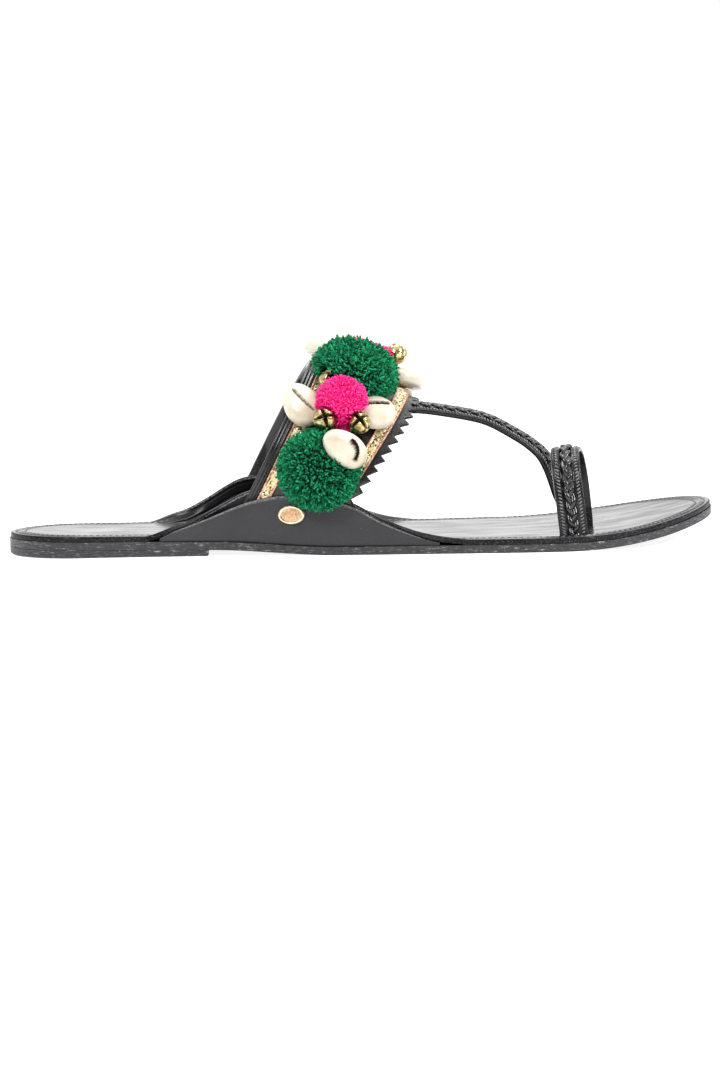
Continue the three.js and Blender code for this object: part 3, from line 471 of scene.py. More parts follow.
# Rows of the tooled border from its edge: distance in, and height over the top face
BORDER_TOOLING = [
    (0.5, 0.0), (1.5, 0.0), (1.9, -0.25), (2.2, -0.25), (2.5, 0.02), (2.8, 0.26), (3.3, 0.34),
    (3.8, 0.26), (4.1, 0.02), (4.8, 0.0), (5.0, -0.35), (5.5, -0.35), (5.7, 0.06), (6.3, 0.12),
    (6.9, 0.04), (7.2, 0.0),
]
BORDER_END, TOOLED_TURN = 7.8, np.radians(50)


def insole_half(side):
    """One side of the insole as rings of its section: in under the leather, out, round its edge and
    in over its top, whose border is tooled where it lies flat. With it come, for each point, the
    distance along the edge and in from it, the share of tooling and how upright the leather is."""
    x = outline(SOLE_LENGTH, 320)[0]
    start, strip, turn = turned_strip(side, x)
    edge = start + strip
    scale = (SOLE_LENGTH - 2 * INSOLE_INSET) / SOLE_LENGTH
    middle = np.clip(x, *SOLE_MIDDLE)
    reach = np.hypot(middle - x, edge)
    quarter = np.linspace(0, np.pi / 2, 5)
    top = INSOLE_THICKNESS
    rows = [(1, 0, 0), (0, 10, 0), (0, 4, 0)]
    rows += [(0, SEAM_ROUND * (1 - np.sin(a)), SEAM_ROUND * (1 - np.cos(a))) for a in quarter]
    rows += [(0, EDGE_ROUND * (1 - np.cos(a)), top - EDGE_ROUND * (1 - np.sin(a))) for a in quarter]
    rows += [(0, inset, top + raised) for inset, raised in BORDER_TOOLING]
    rows += [(share, BORDER_END, top) for share in (0, 0.04, 0.1, 0.2, 0.35, 0.55, 0.78, 1)]
    share, inset, depth = (np.array(column) for column in zip(*rows))
    way = np.minimum(1, (inset + share * (reach[:, None] - inset)) / np.maximum(reach[:, None], 1e-6))
    at = x[:, None] + way * (middle - x)[:, None]
    out = edge[:, None] * (1 - way)
    tooled = 1 - smooth(np.clip(turn / TOOLED_TURN, 0, 1))[:, None]
    depth = depth[None, :] * tooled + np.minimum(depth, top)[None, :] * (1 - tooled)
    bent = folded(side, at, out, depth)
    bent[..., 0] = INSOLE_INSET + bent[..., 0] * scale
    along = np.cumsum(np.hypot(np.diff(x, prepend=x[0]), np.diff(edge, prepend=edge[0])))
    upright = np.clip((out - start[:, None]) / EAR_BEND, 0, turn[:, None]) / (np.pi / 2)
    from_edge = np.minimum(inset + share * 40, 40)[None, :]
    return bent, *(value + 0 * at for value in (along[:, None], from_edge, tooled, upright))


insole_points, *stored = (
    np.concatenate([inner, outer[::-1]]) for inner, outer in zip(insole_half(INNER), insole_half(OUTER))
)
insole_values = dict(zip(("along", "from_edge", "tooled", "upright"), stored))


def polished_leather(name):
    """Glossy black top leather: fine creases and pores under a clear dressing that is cloudy in
    streaks and dull on the ears. Its border is tooled, with a pale line near its top edge that is a
    painted highlight of the rounded edge, broken into specks like rubbed leather, and a row of chain
    stitches, and its cut side is inked and rubbed like the sole's."""
    hide = Finish(name, (0.012, 0.012, 0.013), 0.3, Coat_Roughness=0.16, Specular_IOR_Level=0.3)
    along, inset = hide.stored("along"), hide.stored("from_edge")
    tooled, upright = hide.stored("tooled"), hide.stored("upright")
    creases, specks = hide.noise(260, 7, 0.6, 0.6), hide.noise(2200, 4, 0.7)
    blotches = hide.noise(170, 6, squeeze=(0.3, 1.0, 1.0))
    # Painted highlight: a pale line just in from the top edge, broken into specks like rubbing, weaker on
    # the tooled border
    rubbed = hide.times(hide.ridge(inset, 0.7, 0.5), hide.span(specks, 0.42, 0.6),
                        hide.span(tooled, 0.0, 1.0, 1.0, 0.4))
    loops = hide.math("SINE", hide.times(along, 2.8), 0.0)
    chain = hide.times(hide.ridge(inset, 3.3, 0.9), hide.span(loops, -0.4, 0.6), tooled)
    between = hide.times(hide.ridge(inset, 3.3, 1.1), hide.span(loops, -0.1, -0.5))
    lines = (hide.ridge(inset, 2.05, 0.5), hide.ridge(inset, 5.25, 0.5), between)
    grooves = hide.times(hide.math("MAXIMUM", *lines), tooled)
    dressed = hide.times(hide.span(inset, 0.45, 0.6), hide.span(grooves, 0.1, 0.6, 1.0, 0.0),
                         hide.span(upright, 0.1, 0.7, 1.0, 0.12))
    side_wear = hide.times(hide.span(inset, 0.45, 0.6, 1.0, 0.0),
                           hide.span(specks, 0.55, 0.75, 0, 0.45))
    pale = hide.math("MAXIMUM", rubbed, hide.times(chain, 0.35), side_wear)
    black = hide.ramp(blotches, (0.3, (0.005, 0.005, 0.006)), (0.75, (0.016, 0.016, 0.018)))
    hide.feed(
        Base_Color=hide.blend(pale, black, (0.46, 0.46, 0.47)),
        Roughness=hide.span(blotches, 0.35, 0.65, 0.2, 0.46),
        Coat_Weight=hide.times(dressed, hide.span(blotches, 0.35, 0.65, 1.0, 0.7)),
        Specular_IOR_Level=hide.span(dressed, 0.0, 1.0, 0.12, 0.45),
    )
    pores, stitches = hide.times(hide.cells(1100), 0.25), hide.times(chain, 2.0)
    hide.bump(hide.math("ADD", pores, creases, stitches), 0.0001)
    return hide.made


piece("insole_leather", insole_points, grid_faces(insole_points, closed_rows=True),
      polished_leather("insole_leather"), ["insole"], insole_values)


# Ear flaps. Smooth, matt, dark grey leather closes each ear on the outside. It stands on the
# outsole and is cut along the turned-up edge, whose raw leather shows above it.
FLAP_FROM, FLAP_TO = 0.045, 0.905


def strip_height(side, x, out):
    """Height of the turned strip's outer face over a place out from the middle line."""
    way = np.linspace(0, 1, 40)
    start, strip, _ = turned_strip(side, x)
    line = folded(side, np.repeat(x[:, None], way.size, 1), start[:, None] + strip[:, None] * way, 0.0)
    reach = np.abs(line[..., 1] - spine(x)[:, None])
    rows = zip(out, np.maximum.accumulate(reach, axis=1), line[..., 2])
    return np.array([np.interp(o, r, z) for o, r, z in rows])


def ear_flap(side):
    """A wall along the ear: out on its face up from the outsole, over its cut edge, and down its back.
    Its top follows the turned strip, a drop below it."""
    x = EAR_BACK + np.linspace(FLAP_FROM, FLAP_TO, 150) * EAR_LENGTH[side]
    face = flap_face(side, x)
    drop = through(EAR_ALONG, DROP, (x - EAR_BACK) / EAR_LENGTH[side]) * FLAP_DROP
    top_out = strip_height(side, x, face) - GAP - drop
    top_in = strip_height(side, x, face - FLAP_THICKNESS) - GAP - drop
    foot = insole_under(x, spine(x) + side * face)
    rise = np.array([0, 0.03, 0.08, 0.2, 0.4, 0.6, 0.8, 0.92, 0.97, 1, 1, 0.97, 0.6, 0.2, 0])
    into = np.array([0.25, 0.05, 0, 0, 0, 0, 0, 0, 0.06, 0.3, 1.25, 1.5, 1.5, 1.5, 1.3])
    top = top_out[:, None] + (top_in - top_out)[:, None] * (into / FLAP_THICKNESS)
    z = foot[:, None] + rise * np.maximum(0.05, top - foot[:, None])
    y = spine(x)[:, None] + side * (face[:, None] - into)
    return np.stack([np.repeat(x[:, None], into.size, 1), y, z], axis=-1)


def smooth_leather(name):
    """Matt dark grey leather with a fine even grain. Its cut edge is raw, rough and rubbed pale, and
    dust lies on it in specks."""
    hide = Finish(name, (0.03, 0.03, 0.034), 0.5, Specular_IOR_Level=0.35)
    cloud, dust = hide.noise(45, 5, 0.6), hide.noise(3200, 2)
    grey = hide.ramp(cloud, (0.3, (0.027, 0.027, 0.03)), (0.75, (0.043, 0.043, 0.047)))
    dusty = hide.blend(hide.span(dust, 0.72, 0.78, 0, 0.5), grey, (0.4, 0.4, 0.4))
    raw = hide.times(hide.stored("raw_edge"), hide.span(dust, 0.42, 0.62, 0.0, 0.8))
    hide.feed(Base_Color=hide.blend(raw, dusty, (0.34, 0.33, 0.32)),
              Roughness=hide.span(cloud, 0.3, 0.7, 0.42, 0.56))
    hide.bump(hide.math("ADD", hide.cells(2200), raw), 0.00004)
    return hide.made


flap_leather = smooth_leather("flap_leather")
for side, word in ((INNER, "inner"), (OUTER, "outer")):
    flap_points = ear_flap(side)
    raw_edge = np.zeros(flap_points.shape[:2])
    raw_edge[:, [8, 9]] = 1
    piece(f"ear_flap_{word}_leather", flap_points, capped(flap_points), flap_leather, [f"ear_flap_{word}"],
          {"raw_edge": raw_edge})


# Instep strap. One wide band of black leather arches over the instep with its feet pressed into the
# ears. Its rear edge is folded and ridged, and a thinner strip under its front edge is pinked.
STRAP_REAR, STRAP_FRONT, STRAP_RIM, STRAP_FOOT = 84.6, 119.8, 18.5, 10.5
REAR_LEAN, FRONT_LEAN = np.radians([27.3, 35.6])
REAR_CREST, FRONT_CREST, ARCH_SPRINGING, ARCH_CURVE = 67.5, 55.0, 24.0, 2.1
REAR_BORDER = 4.0
EDGING_WIDTH, TOOTH_DEPTH, TOOTH_PITCH = 1.7, 2.8, 4.5


def strap_stand(side, x):
    """Distance of the strap's inner face from the middle line where it stands in the ear."""
    return flap_face(side, x) - FLAP_THICKNESS - POCKET_DEPTH


arch_angle = np.linspace(0, np.pi / 2, 49)
ARCH_OUT = np.append(np.sin(arch_angle) ** (2 / ARCH_CURVE), 1.0)
ARCH_RISE = np.append(np.cos(arch_angle) ** (2 / ARCH_CURVE), 0.0)
ARCH_RISE[-2] = 0.0
ARCH_LEG = np.append(np.zeros(49), 1.0)
strap_middle = np.array((STRAP_REAR + STRAP_FRONT) / 2)
mean_stand = (strap_stand(INNER, strap_middle) + strap_stand(OUTER, strap_middle)) / 2
mean_rise = (REAR_CREST + FRONT_CREST) / 2 - STRAP_THICKNESS - ARCH_SPRINGING
arch_steps = np.hypot(
    np.hypot(np.diff(ARCH_OUT) * mean_stand, np.diff(ARCH_RISE) * mean_rise),
    np.diff(ARCH_LEG) * (ARCH_SPRINGING - STRAP_FOOT),
)
ARCH_ALONG = np.append(0, np.cumsum(arch_steps))
ARCH_LENGTH = ARCH_ALONG[-1]


def strap_face(share, across):
    """A place on the strap's inner face. Share runs from the inner foot, -1, over the crest, 0, to
    the outer foot, 1, along a superellipse and a straight leg, and across from rear to front edge."""
    at = np.abs(np.clip(share, -1, 1)) * ARCH_LENGTH
    out, rise, leg = (np.interp(at, ARCH_ALONG, row) for row in (ARCH_OUT, ARCH_RISE, ARCH_LEG))

    def height(crest):
        up = ARCH_SPRINGING + (crest - STRAP_THICKNESS - ARCH_SPRINGING) * rise
        return up + (STRAP_FOOT - up) * leg

    rear = STRAP_REAR + (height(REAR_CREST) - STRAP_RIM) * np.tan(REAR_LEAN)
    front = STRAP_FRONT + (height(FRONT_CREST) - STRAP_RIM) * np.tan(FRONT_LEAN)
    x = rear + (front - rear) * across
    outer, inner = strap_stand(OUTER, x), strap_stand(INNER, x)
    y = spine(x) + (outer - inner) / 2 + np.sign(share) * out * (outer + inner) / 2
    z = height(REAR_CREST) + (height(FRONT_CREST) - height(REAR_CREST)) * across
    return np.stack([x, y, z], axis=-1)


def unit(v):
    """Vectors drawn to a length of one."""
    return v / np.linalg.norm(v, axis=-1, keepdims=True)


def strap_frame(share, across, height):
    """A place at a height over the strap's inner face, with the directions out of the strap, forward
    across it and along it, from small steps on the face."""
    share, across, height = np.broadcast_arrays(*(np.asarray(v, float) for v in (share, across, height)))
    step = 0.01
    ahead, behind = np.minimum(share + step, 1), np.maximum(share - step, -1)
    along = strap_face(ahead, across) - strap_face(behind, across)
    forward = unit(strap_face(share, across + step) - strap_face(share, across - step))
    out = unit(-np.cross(along, forward))
    return strap_face(share, across) + out * height[..., None], out, forward, unit(np.cross(out, forward))


def strap_width(share):
    """Width of the strap from its rear edge to its front edge."""
    return np.linalg.norm(strap_face(share, 0 * share) - strap_face(share, 0 * share + 1), axis=-1)


teeth = 2 * round(ARCH_LENGTH / TOOTH_PITCH)
STEPS_PER_TOOTH = 14
band_share = np.linspace(-1, 1, teeth * STEPS_PER_TOOTH + 1)
band_width = strap_width(band_share)
saw = 1 - np.abs(2 * ((band_share + 1) / 2 * teeth % 1) - 1)
tooth_reach = EDGING_WIDTH + TOOTH_DEPTH * saw
# Section of the band's border from its rear edge, with three ridges: distance in and height
BORDER_SECTION = [
    (0.25, 0), (0, 0.3), (0, 1.9), (0.2, 2.3), (0.7, 2.4), (1.2, 1.95), (1.4, 1.95), (1.9, 2.4),
    (2.3, 1.95), (2.5, 1.95), (3.0, 2.4), (3.4, 2.3), (3.7, 2.0), (4.2, 2.0),
]
border_in, border_up = (np.array(row) for row in zip(*BORDER_SECTION))
field = np.linspace(0, 1, 12)[1:-1]
wide = band_width[:, None]
front_in = np.array([0.6, 0.15, 0, 0, 0.5])
front_up = np.array([2.0, 1.9, 1.6, 0.1, 0])
field_across = (border_in[-1] + field * (wide - border_in[-1])) / wide
band_across = np.concatenate(
    [border_in / wide, field_across, 1 - front_in / wide, field_across[:, ::-1]], axis=1
)
band_up = np.concatenate([border_up, np.full(field.size, 2.0), front_up, np.zeros(field.size)])
band_points = strap_frame(band_share[:, None], band_across, band_up[None, :])[0]
# Section of the edging from under the band, over the teeth and back under: distance in from the
# front edge, share of the reach of the teeth, and height
EDGING_SECTION = [
    (9, 0, 1.35), (6, 0, 1.35), (3, 0, 1.35), (0, 0, 1.35), (0, 0.3, 1.35), (0, 0.7, 1.35),
    (0, 0.93, 1.3), (0, 1, 1.1), (0, 1, 0.25), (0, 0.93, 0.05), (0, 0.7, 0), (0, 0.3, 0),
    (0, 0, 0.02), (3, 0, 0.02), (6, 0, 0.02), (9, 0, 0.02),
]
edging_in, edging_reach, edging_up = (np.array(row) for row in zip(*EDGING_SECTION))
edging_across = 1 - (edging_in - tooth_reach[:, None] * edging_reach) / wide
edging_points = strap_frame(band_share[:, None], edging_across, edging_up[None, :])[0]


def strap_leather(name, colour, roughness, pore, polish):
    """Black strap leather: pebbled grain with creases, glossy where it is rubbed. Its flesh side, by
    the share stored in the mesh, is brown and rough."""
    hide = Finish(name, colour, roughness, Coat_Roughness=0.12, Specular_IOR_Level=0.18)
    creases, flesh = hide.noise(500, 6, 0.65), hide.stored("flesh")
    dark, light = (tuple(shade * c for c in colour) for shade in (0.7, 1.9))
    black = hide.ramp(creases, (0.35, dark), (0.75, light))
    hide.feed(
        Base_Color=hide.blend(flesh, black, (0.05, 0.032, 0.022)),
        Roughness=hide.span(creases, 0.3, 0.7, roughness - 0.1, roughness + 0.12),
        Coat_Weight=hide.span(flesh, 0.0, 1.0, polish, 0.0),
    )
    hide.bump(hide.math("ADD", hide.times(hide.cells(pore), 0.8), creases), 0.00016)
    return hide.made


band_leather = strap_leather("band_leather", (0.013, 0.013, 0.014), 0.3, 1400, 0.8)
band_flesh = np.concatenate([np.zeros(band_up.size - field.size), np.ones(field.size)])[None, :]
piece("instep_band", band_points, capped(band_points), band_leather, ["strap_upper"],
      {"flesh": band_flesh + 0 * band_across})
piece("pinked_edging", edging_points, capped(edging_points), band_leather, ())


# Toe strap and big-toe loop. Each is a flat strap of black leather with a three-strand plait sewn
# down its middle and a whipped seam along both edges. The toe strap is sewn under the instep strap
# and ends beside the loop's far leg, and both are slotted into the insole.
TOE_STRAP_WIDTH, TOE_STRAP_SIDE, TOE_STRAP_LAP, TOE_STRAP_END = 8.5, 12.0, 9.0, np.radians(24)
LOOP_WIDTH, LOOP_FROM_TIP, LOOP_EDGE = 10.0, 55.3, 6.5
LOOP_SPAN, LOOP_HEIGHT, LOOP_SKEW = 27.0, 29.5, 6.0
CORD_WALL, PLAIT_SWING, PLAIT_PERIOD = 1.8, 1.15, 13.2
# Middle line of the toe strap: shares of the way forward and of the height, and turn of its width
TOE_STRAP = np.array([
    [0.1, 0.99, 0], [0.25, 0.956, 0], [0.48, 0.877, 0.05], [0.64, 0.75, 0.12], [0.735, 0.657, 0.2],
    [0.81, 0.556, 0.32], [0.86, 0.44, 0.5], [0.896, 0.324, 0.65], [0.93, 0.2, 0.8],
    [0.97, 0.09, 0.95], [1, 0, 1],
])
# Middle line of the loop: shares of its span, its height and its forward skew
LOOP = np.array([
    [0, 0, 0], [0, 0.08, 0], [-0.01, 0.3, -0.12], [0.01, 0.6, -0.28], [0.13, 0.86, -0.35],
    [0.33, 0.98, -0.26], [0.5, 1, -0.1], [0.67, 0.98, 0.12], [0.87, 0.86, 0.45], [0.99, 0.6, 0.75],
    [1.01, 0.3, 0.92], [1, 0.08, 1], [1, 0, 1],
])


def line_through(points, count):
    """A smooth line through points as even steps of its length, with its directions. Each span is a
    centripetal Catmull-Rom cubic, whose knots are square roots of the distances between points."""
    ends = [2 * points[0] - points[1], *points, 2 * points[-1] - points[-2]]
    p0, p1, p2, p3 = (np.array(ends[k : len(ends) - 3 + k]) for k in range(4))
    pairs = ((p0, p1), (p1, p2), (p2, p3))
    d0, d1, d2 = (np.sqrt(np.linalg.norm(b - a, axis=1))[:, None] for a, b in pairs)
    leave = ((p1 - p0) / d0 - (p2 - p0) / (d0 + d1) + (p2 - p1) / d1) * d1
    arrive = ((p2 - p1) / d1 - (p3 - p1) / (d1 + d2) + (p3 - p2) / d2) * d1
    t = np.linspace(0, 1, 40, endpoint=False)[None, :, None]
    p1, p2, leave, arrive = (m[:, None, :] for m in (p1, p2, leave, arrive))
    square, cube = 3 * (p2 - p1) - 2 * leave - arrive, 2 * (p1 - p2) + leave + arrive
    cubic = p1 + leave * t + square * t**2 + cube * t**3
    line = np.concatenate([cubic.reshape(-1, 3), points[-1:]])
    far = np.append(0, np.cumsum(np.linalg.norm(np.diff(line, axis=0), axis=1)))
    even = np.linspace(0, far[-1], count)
    line = np.column_stack([np.interp(even, far, line[:, k]) for k in range(3)])
    return line, unit(np.gradient(line, axis=0)), even


loop_x = SOLE_LENGTH - LOOP_FROM_TIP
loop_y = spine(loop_x) - half_width(INNER, loop_x) * edge_round(INNER, loop_x) + LOOP_EDGE
loop_rows_x = loop_x + LOOP[:, 2] * LOOP_SKEW
loop_rows_y = loop_y + LOOP[:, 0] * LOOP_SPAN
loop_foot = insole_under(loop_rows_x, loop_rows_y) + INSOLE_THICKNESS / 2
loop_points = np.column_stack([loop_rows_x, loop_rows_y, loop_foot + LOOP[:, 1] * LOOP_HEIGHT])
strap_share = -TOE_STRAP_SIDE / ARCH_LENGTH
strap_across = strap_width(np.array(strap_share))
lap = strap_frame(strap_share, 1 - TOE_STRAP_LAP / strap_across, GAP / 2 - CORD_WALL)
leave = strap_frame(strap_share, 1.0, GAP / 2 - CORD_WALL)
toe_end_x, toe_end_y = loop_x + LOOP_SKEW - LOOP_WIDTH / 4, loop_y + LOOP_SPAN
toe_end_z = insole_under(toe_end_x, toe_end_y) + INSOLE_THICKNESS + TOE_STRAP_WIDTH / 2
toe_rows = np.column_stack([
    leave[0][0] + TOE_STRAP[:, 0] * (toe_end_x - leave[0][0]),
    leave[0][1] + TOE_STRAP[:, 0] * (toe_end_y - leave[0][1]),
    toe_end_z + TOE_STRAP[:, 1] * (leave[0][2] - toe_end_z),
])
SLOTTED = np.array([0.3, 0, -3.2])
toe_points = np.concatenate([[lap[0]], [leave[0]], toe_rows, [toe_rows[-1] + SLOTTED]])


def strap_sides(line, toward, wished):
    """Directions across and out of a strap along its line, from the wished direction of its width."""
    wide = unit(wished - toward * np.sum(wished * toward, axis=1)[:, None])
    return wide, np.cross(toward, wide)


def carried(line, wide, out, across, rise):
    """A section carried along a line: its points lie across and out by the rows' distances."""
    return line[:, None, :] + wide[:, None, :] * across[..., None] + out[:, None, :] * rise[..., None]


# Half of a strap's section from its underside to the bed of the plait: distance in from the edge,
# or out from the middle line where marked, and height
STRAP_SECTION = [
    (0.4, False, 0), (0, False, 0.4), (0, False, 1.3), (0.3, False, 1.7), (0.8, False, 1.8),
    (1.0, False, 1.6), (1.4, False, 1.65), (2.3, True, 1.75), (1.9, True, 1.45),
]
STRAND_WIDTH, STRAND_RISE, PLAIT_LEVEL = 0.9, 0.5, 1.95
# Whipped stitches: spacing, half of their reach along and across the strap, half of their thickness
# along it and upward, and their middle's place in from the edge and level
WHIP_PITCH, WHIP_LEAN, WHIP_HALF = 1.15, 0.35, 0.75
WHIP_THICK, WHIP_RISE, WHIP_IN, WHIP_LEVEL = 0.42, 0.45, 1.6, 1.75


def plaited_strap(name, line, wide, out, far, width, leather, cord, thread):
    """The flat strap, the plait and the whipped seams. Each plait strand swings from side to side as a
    sine of the length and passes over and under as a sine of twice that, a third of a period apart."""
    w = width / 2
    half = np.array([(place if middle else w - place, up) for place, middle, up in STRAP_SECTION])
    across, rise = np.concatenate([half, half[::-1] * [-1, 1]]).T
    ones = np.ones((line.shape[0], 1))
    base = carried(line, wide, out, ones * across, ones * rise)
    piece(f"{name}_strap", base, capped(base), leather, ())
    ring = np.linspace(0, 2 * np.pi, 9)[:-1]
    strands, faces = [], []
    for k in range(3):
        turn = 2 * np.pi * (far / PLAIT_PERIOD + k / 3)[:, None]
        swing = PLAIT_SWING * np.sin(turn) + STRAND_WIDTH * np.cos(ring)[None, :]
        lift = PLAIT_LEVEL + STRAND_RISE * np.sin(2 * turn) + STRAND_RISE * np.sin(ring)[None, :]
        strand = carried(line, wide, out, swing, lift)
        strands.append(strand.reshape(-1, 3))
        faces += [[corner + k * strand[..., 0].size for corner in face] for face in capped(strand)]
    piece(f"{name}_plait", np.concatenate(strands), faces, cord, ())
    count = int(far[-1] / WHIP_PITCH)
    ring, way = np.linspace(0, 2 * np.pi, 7)[:-1], np.linspace(-1, 1, 5)
    grain_turn, grain_way = np.meshgrid(ring, way, indexing="ij")
    swell = np.sqrt(np.maximum(0, 1 - grain_way**2)) + 0.02
    at = np.linspace(1.0, far[-1] - 1.0, count)
    middle, sideways, outward = (
        np.stack([np.interp(at, far, m[:, k]) for k in range(3)], axis=-1) for m in (line, wide, out)
    )
    step = unit(np.gradient(middle, axis=0))
    along = WHIP_LEAN * grain_way + WHIP_THICK * swell * np.cos(grain_turn)
    rise = WHIP_LEVEL + WHIP_RISE * swell * np.sin(grain_turn)
    block = grid_faces(grain_turn, closed_rows=True)
    seams, seam_faces = [], []
    for side in (-1, 1):
        across = side * (w - WHIP_IN) + WHIP_HALF * grain_way * side
        stitch = middle[:, None, None] + sum(
            way[:, None, None] * size[None, ..., None]
            for way, size in ((sideways, across), (step, along), (outward, rise))
        )
        starts = (np.arange(count) + len(seams) * count) * grain_turn.size
        seams.append(stitch.reshape(-1, 3))
        seam_faces.append((block[None, :, :] + starts[:, None, None]).reshape(-1, 4))
    piece(f"{name}_whipping", np.concatenate(seams), np.concatenate(seam_faces), thread, ())


toe_leather = strap_leather("toe_strap_leather", (0.007, 0.007, 0.008), 0.25, 1800, 0.35)
plait_cord = strap_leather("plait_leather", (0.006, 0.006, 0.007), 0.2, 2600, 1.0)
# Painted highlight: the whipping is black leather like the strap, and its colour is lifted to grey to
# stand in for the highlights on its stitches
seam_thread_painted_highlight = strap_leather("seam_leather_painted_highlight", (0.12, 0.12, 0.126), 0.2, 2600, 1.0)
line, toward, far = line_through(loop_points, 260)
wide, out = strap_sides(line, toward, np.array([-1.0, 0, 0]) + 0 * line)
plaited_strap("toe_loop", line, wide, out, far, LOOP_WIDTH, toe_leather, plait_cord, seam_thread_painted_highlight)
line, toward, far = line_through(toe_points, 360)
forward = (line[:, 0] - leave[0][0]) / (toe_end_x - leave[0][0])
turned = np.clip(through(TOE_STRAP[:, 0], TOE_STRAP[:, 2], forward), 0, 1)[:, None]
finish_way = np.array([np.cos(TOE_STRAP_END), np.sin(TOE_STRAP_END), 0])
wide, out = strap_sides(line, toward, leave[3] + turned * (finish_way - leave[3]))
plaited_strap("toe", line, wide, out, far, TOE_STRAP_WIDTH, toe_leather, plait_cord, seam_thread_painted_highlight)


# Gold ribbons. Two narrow woven ribbons of gold thread are sewn along the strap, one against the
# rear border and one at the front edge. Each has a copper-red cord along both of its sides.
TRIM_WIDTH = 5.0
# Share of the width that a cord takes, and height and pitch of the zigzag and of the cord's twist
CORD_SHARE = 0.2
ZIGZAG_HEIGHT, ZIGZAG_PITCH, TWIST_HEIGHT, TWIST_PITCH = 0.14, 1.7, 0.07, 1.1


def ribbon(name, from_rear, finish, node):
    """A ribbon on the strap: flat in the middle where the threads cross in a fine zigzag, and round at
    each side where the cord lies. Its values are millimetres along it and the share across it."""
    share = np.linspace(-1, 1, 600)
    width = strap_width(share)[:, None]
    over = np.array([0.0, 0.03, 0.09, 0.15, 0.18, 0.3, 0.4, 0.5, 0.6, 0.7, 0.82, 0.85, 0.91, 0.97, 1.0])
    top = np.array([0.1, 0.6, 0.8, 0.6, 0.45, 0.5, 0.52, 0.52, 0.52, 0.5, 0.45, 0.6, 0.8, 0.6, 0.1])
    mm = (share * ARCH_LENGTH)[:, None]
    middle = (over > CORD_SHARE) & (over < 1 - CORD_SHARE)
    cord = ~middle & (over > 0) & (over < 1)
    zigzag = ZIGZAG_HEIGHT * np.sin(2 * np.pi * (mm / ZIGZAG_PITCH + 1.5 * np.abs(2 * over - 1))) * middle
    twist = TWIST_HEIGHT * np.sin(2 * np.pi * (mm / TWIST_PITCH + 6 * over)) * cord
    rise = np.concatenate([top[None, :] + zigzag + twist, 0 * mm, 0 * mm], axis=1)
    place = np.append(over, [0.9, 0.1])[None, :] * TRIM_WIDTH
    across = (from_rear + place) / width if from_rear is not None else 1 - place / width
    points = strap_frame(share[:, None], across, STRAP_THICKNESS + GAP + rise)[0]
    values = {"along": mm + 0 * place, "across": place / TRIM_WIDTH + 0 * mm}
    piece(name, points, capped(points), finish, [node], values)


def gold_weave(name):
    """Gold thread woven in a zigzag, with pale, green-gold and shadowed threads, between two cords of
    copper-red thread."""
    weave = Finish(name, (0.7, 0.5, 0.2), 0.33, Metallic=0.6)
    across = weave.stored("across")
    cell = weave.node("CombineXYZ", X=weave.times(weave.stored("along"), 1.15), Y=weave.times(across, 6.0))
    threads = weave.node("TexVoronoi", Vector=cell.outputs["Vector"], Scale=1.6)
    shade = weave.node("SeparateColor", Color=threads.outputs["Color"])
    gold = weave.ramp(
        shade.outputs["Red"], (0.0, (0.03, 0.025, 0.01)), (0.27, (0.22, 0.17, 0.06)),
        (0.4, (0.76, 0.55, 0.26)), (0.7, (0.93, 0.77, 0.47)), (1.0, (1.0, 0.94, 0.78)),
    )
    cord = weave.ramp(shade.outputs["Green"], (0.1, (0.55, 0.22, 0.14)), (0.8, (0.9, 0.52, 0.38)))
    at_side = weave.math("ABSOLUTE", weave.math("SUBTRACT", across, 0.5), 0.0)
    weave.feed(Base_Color=weave.blend(weave.span(at_side, 0.32, 0.36), gold, cord))
    weave.bump(threads.outputs["Distance"], 0.0002)
    return weave.made


gold = gold_weave("gold_weave")
ribbon("gold_ribbon_rear", REAR_BORDER, gold, "trim_gold_rear")
ribbon("gold_ribbon_front", None, gold, "trim_gold_front")


# Cowrie shells. Real shells, domed on the back and toothed along the slit, are sewn on with the slit
# outward. They lie round each pink pompom, and one on each side stands raised beside the green one.
SHELL_LENGTH, SHELL_WIDTH, SHELL_HEIGHT = 17.0, 13.0, 7.0
SHELL_TAPER, SHELL_DOME, SHELL_BELLY = 0.12, 0.6, 0.35
SLIT_DEPTH, LIP_RISE, TOOTH_RISE, SLIT_TOOTH_PITCH = 1.3, 0.16, 0.1, 0.95
# Place along the arch and across the strap, turn and roll in degrees, rise as a share of the height,
# and which slit the shell has
SHELLS = [
    (-0.429, 0.12, -50, 0, 0, "long"), (-0.406, 0.77, 8, 0, 0, "high"),
    (-0.602, 0.745, -28, 48, 1.45, "end"), (0.045, 0.1, 75, 0, 0, "long"),
    (0.085, 0.96, 64, 0, 0, "long"), (0.275, 0.965, -66, 0, 0, "long"),
    (0.44, 0.2, 55, 0, 0, "long"), (0.435, 0.79, -4, 0, 0, "high"),
    (0.627, 0.745, 28, -48, 1.45, "long"),
]
# Three points that each slit bends through on the shell, seen from above, in millimetres
LONG_SLIT = [(-5.2, -0.9), (0.0, 0.2), (4.8, 2.0)]
HIGH_SLIT = [(-5.2, 0.9), (0.0, 1.5), (5.2, 2.5)]
END_SLIT = [(1.4, 5.7), (4.6, 4.3), (5.7, 0.9)]


def seat(arch, across, turn, roll, height):
    """Where a piece sits on the strap: its place, and its own three directions, turned on the strap
    and then rolled about the first of them."""
    point, out, forward, aside = strap_frame(arch, across, STRAP_THICKNESS + height)
    c, s = np.cos(np.radians(turn)), np.sin(np.radians(turn))
    ahead, sideways = c * forward + s * aside, -s * forward + c * aside
    c, s = np.cos(np.radians(roll)), np.sin(np.radians(roll))
    return point, np.stack([ahead, c * sideways + s * out, -s * sideways + c * out])


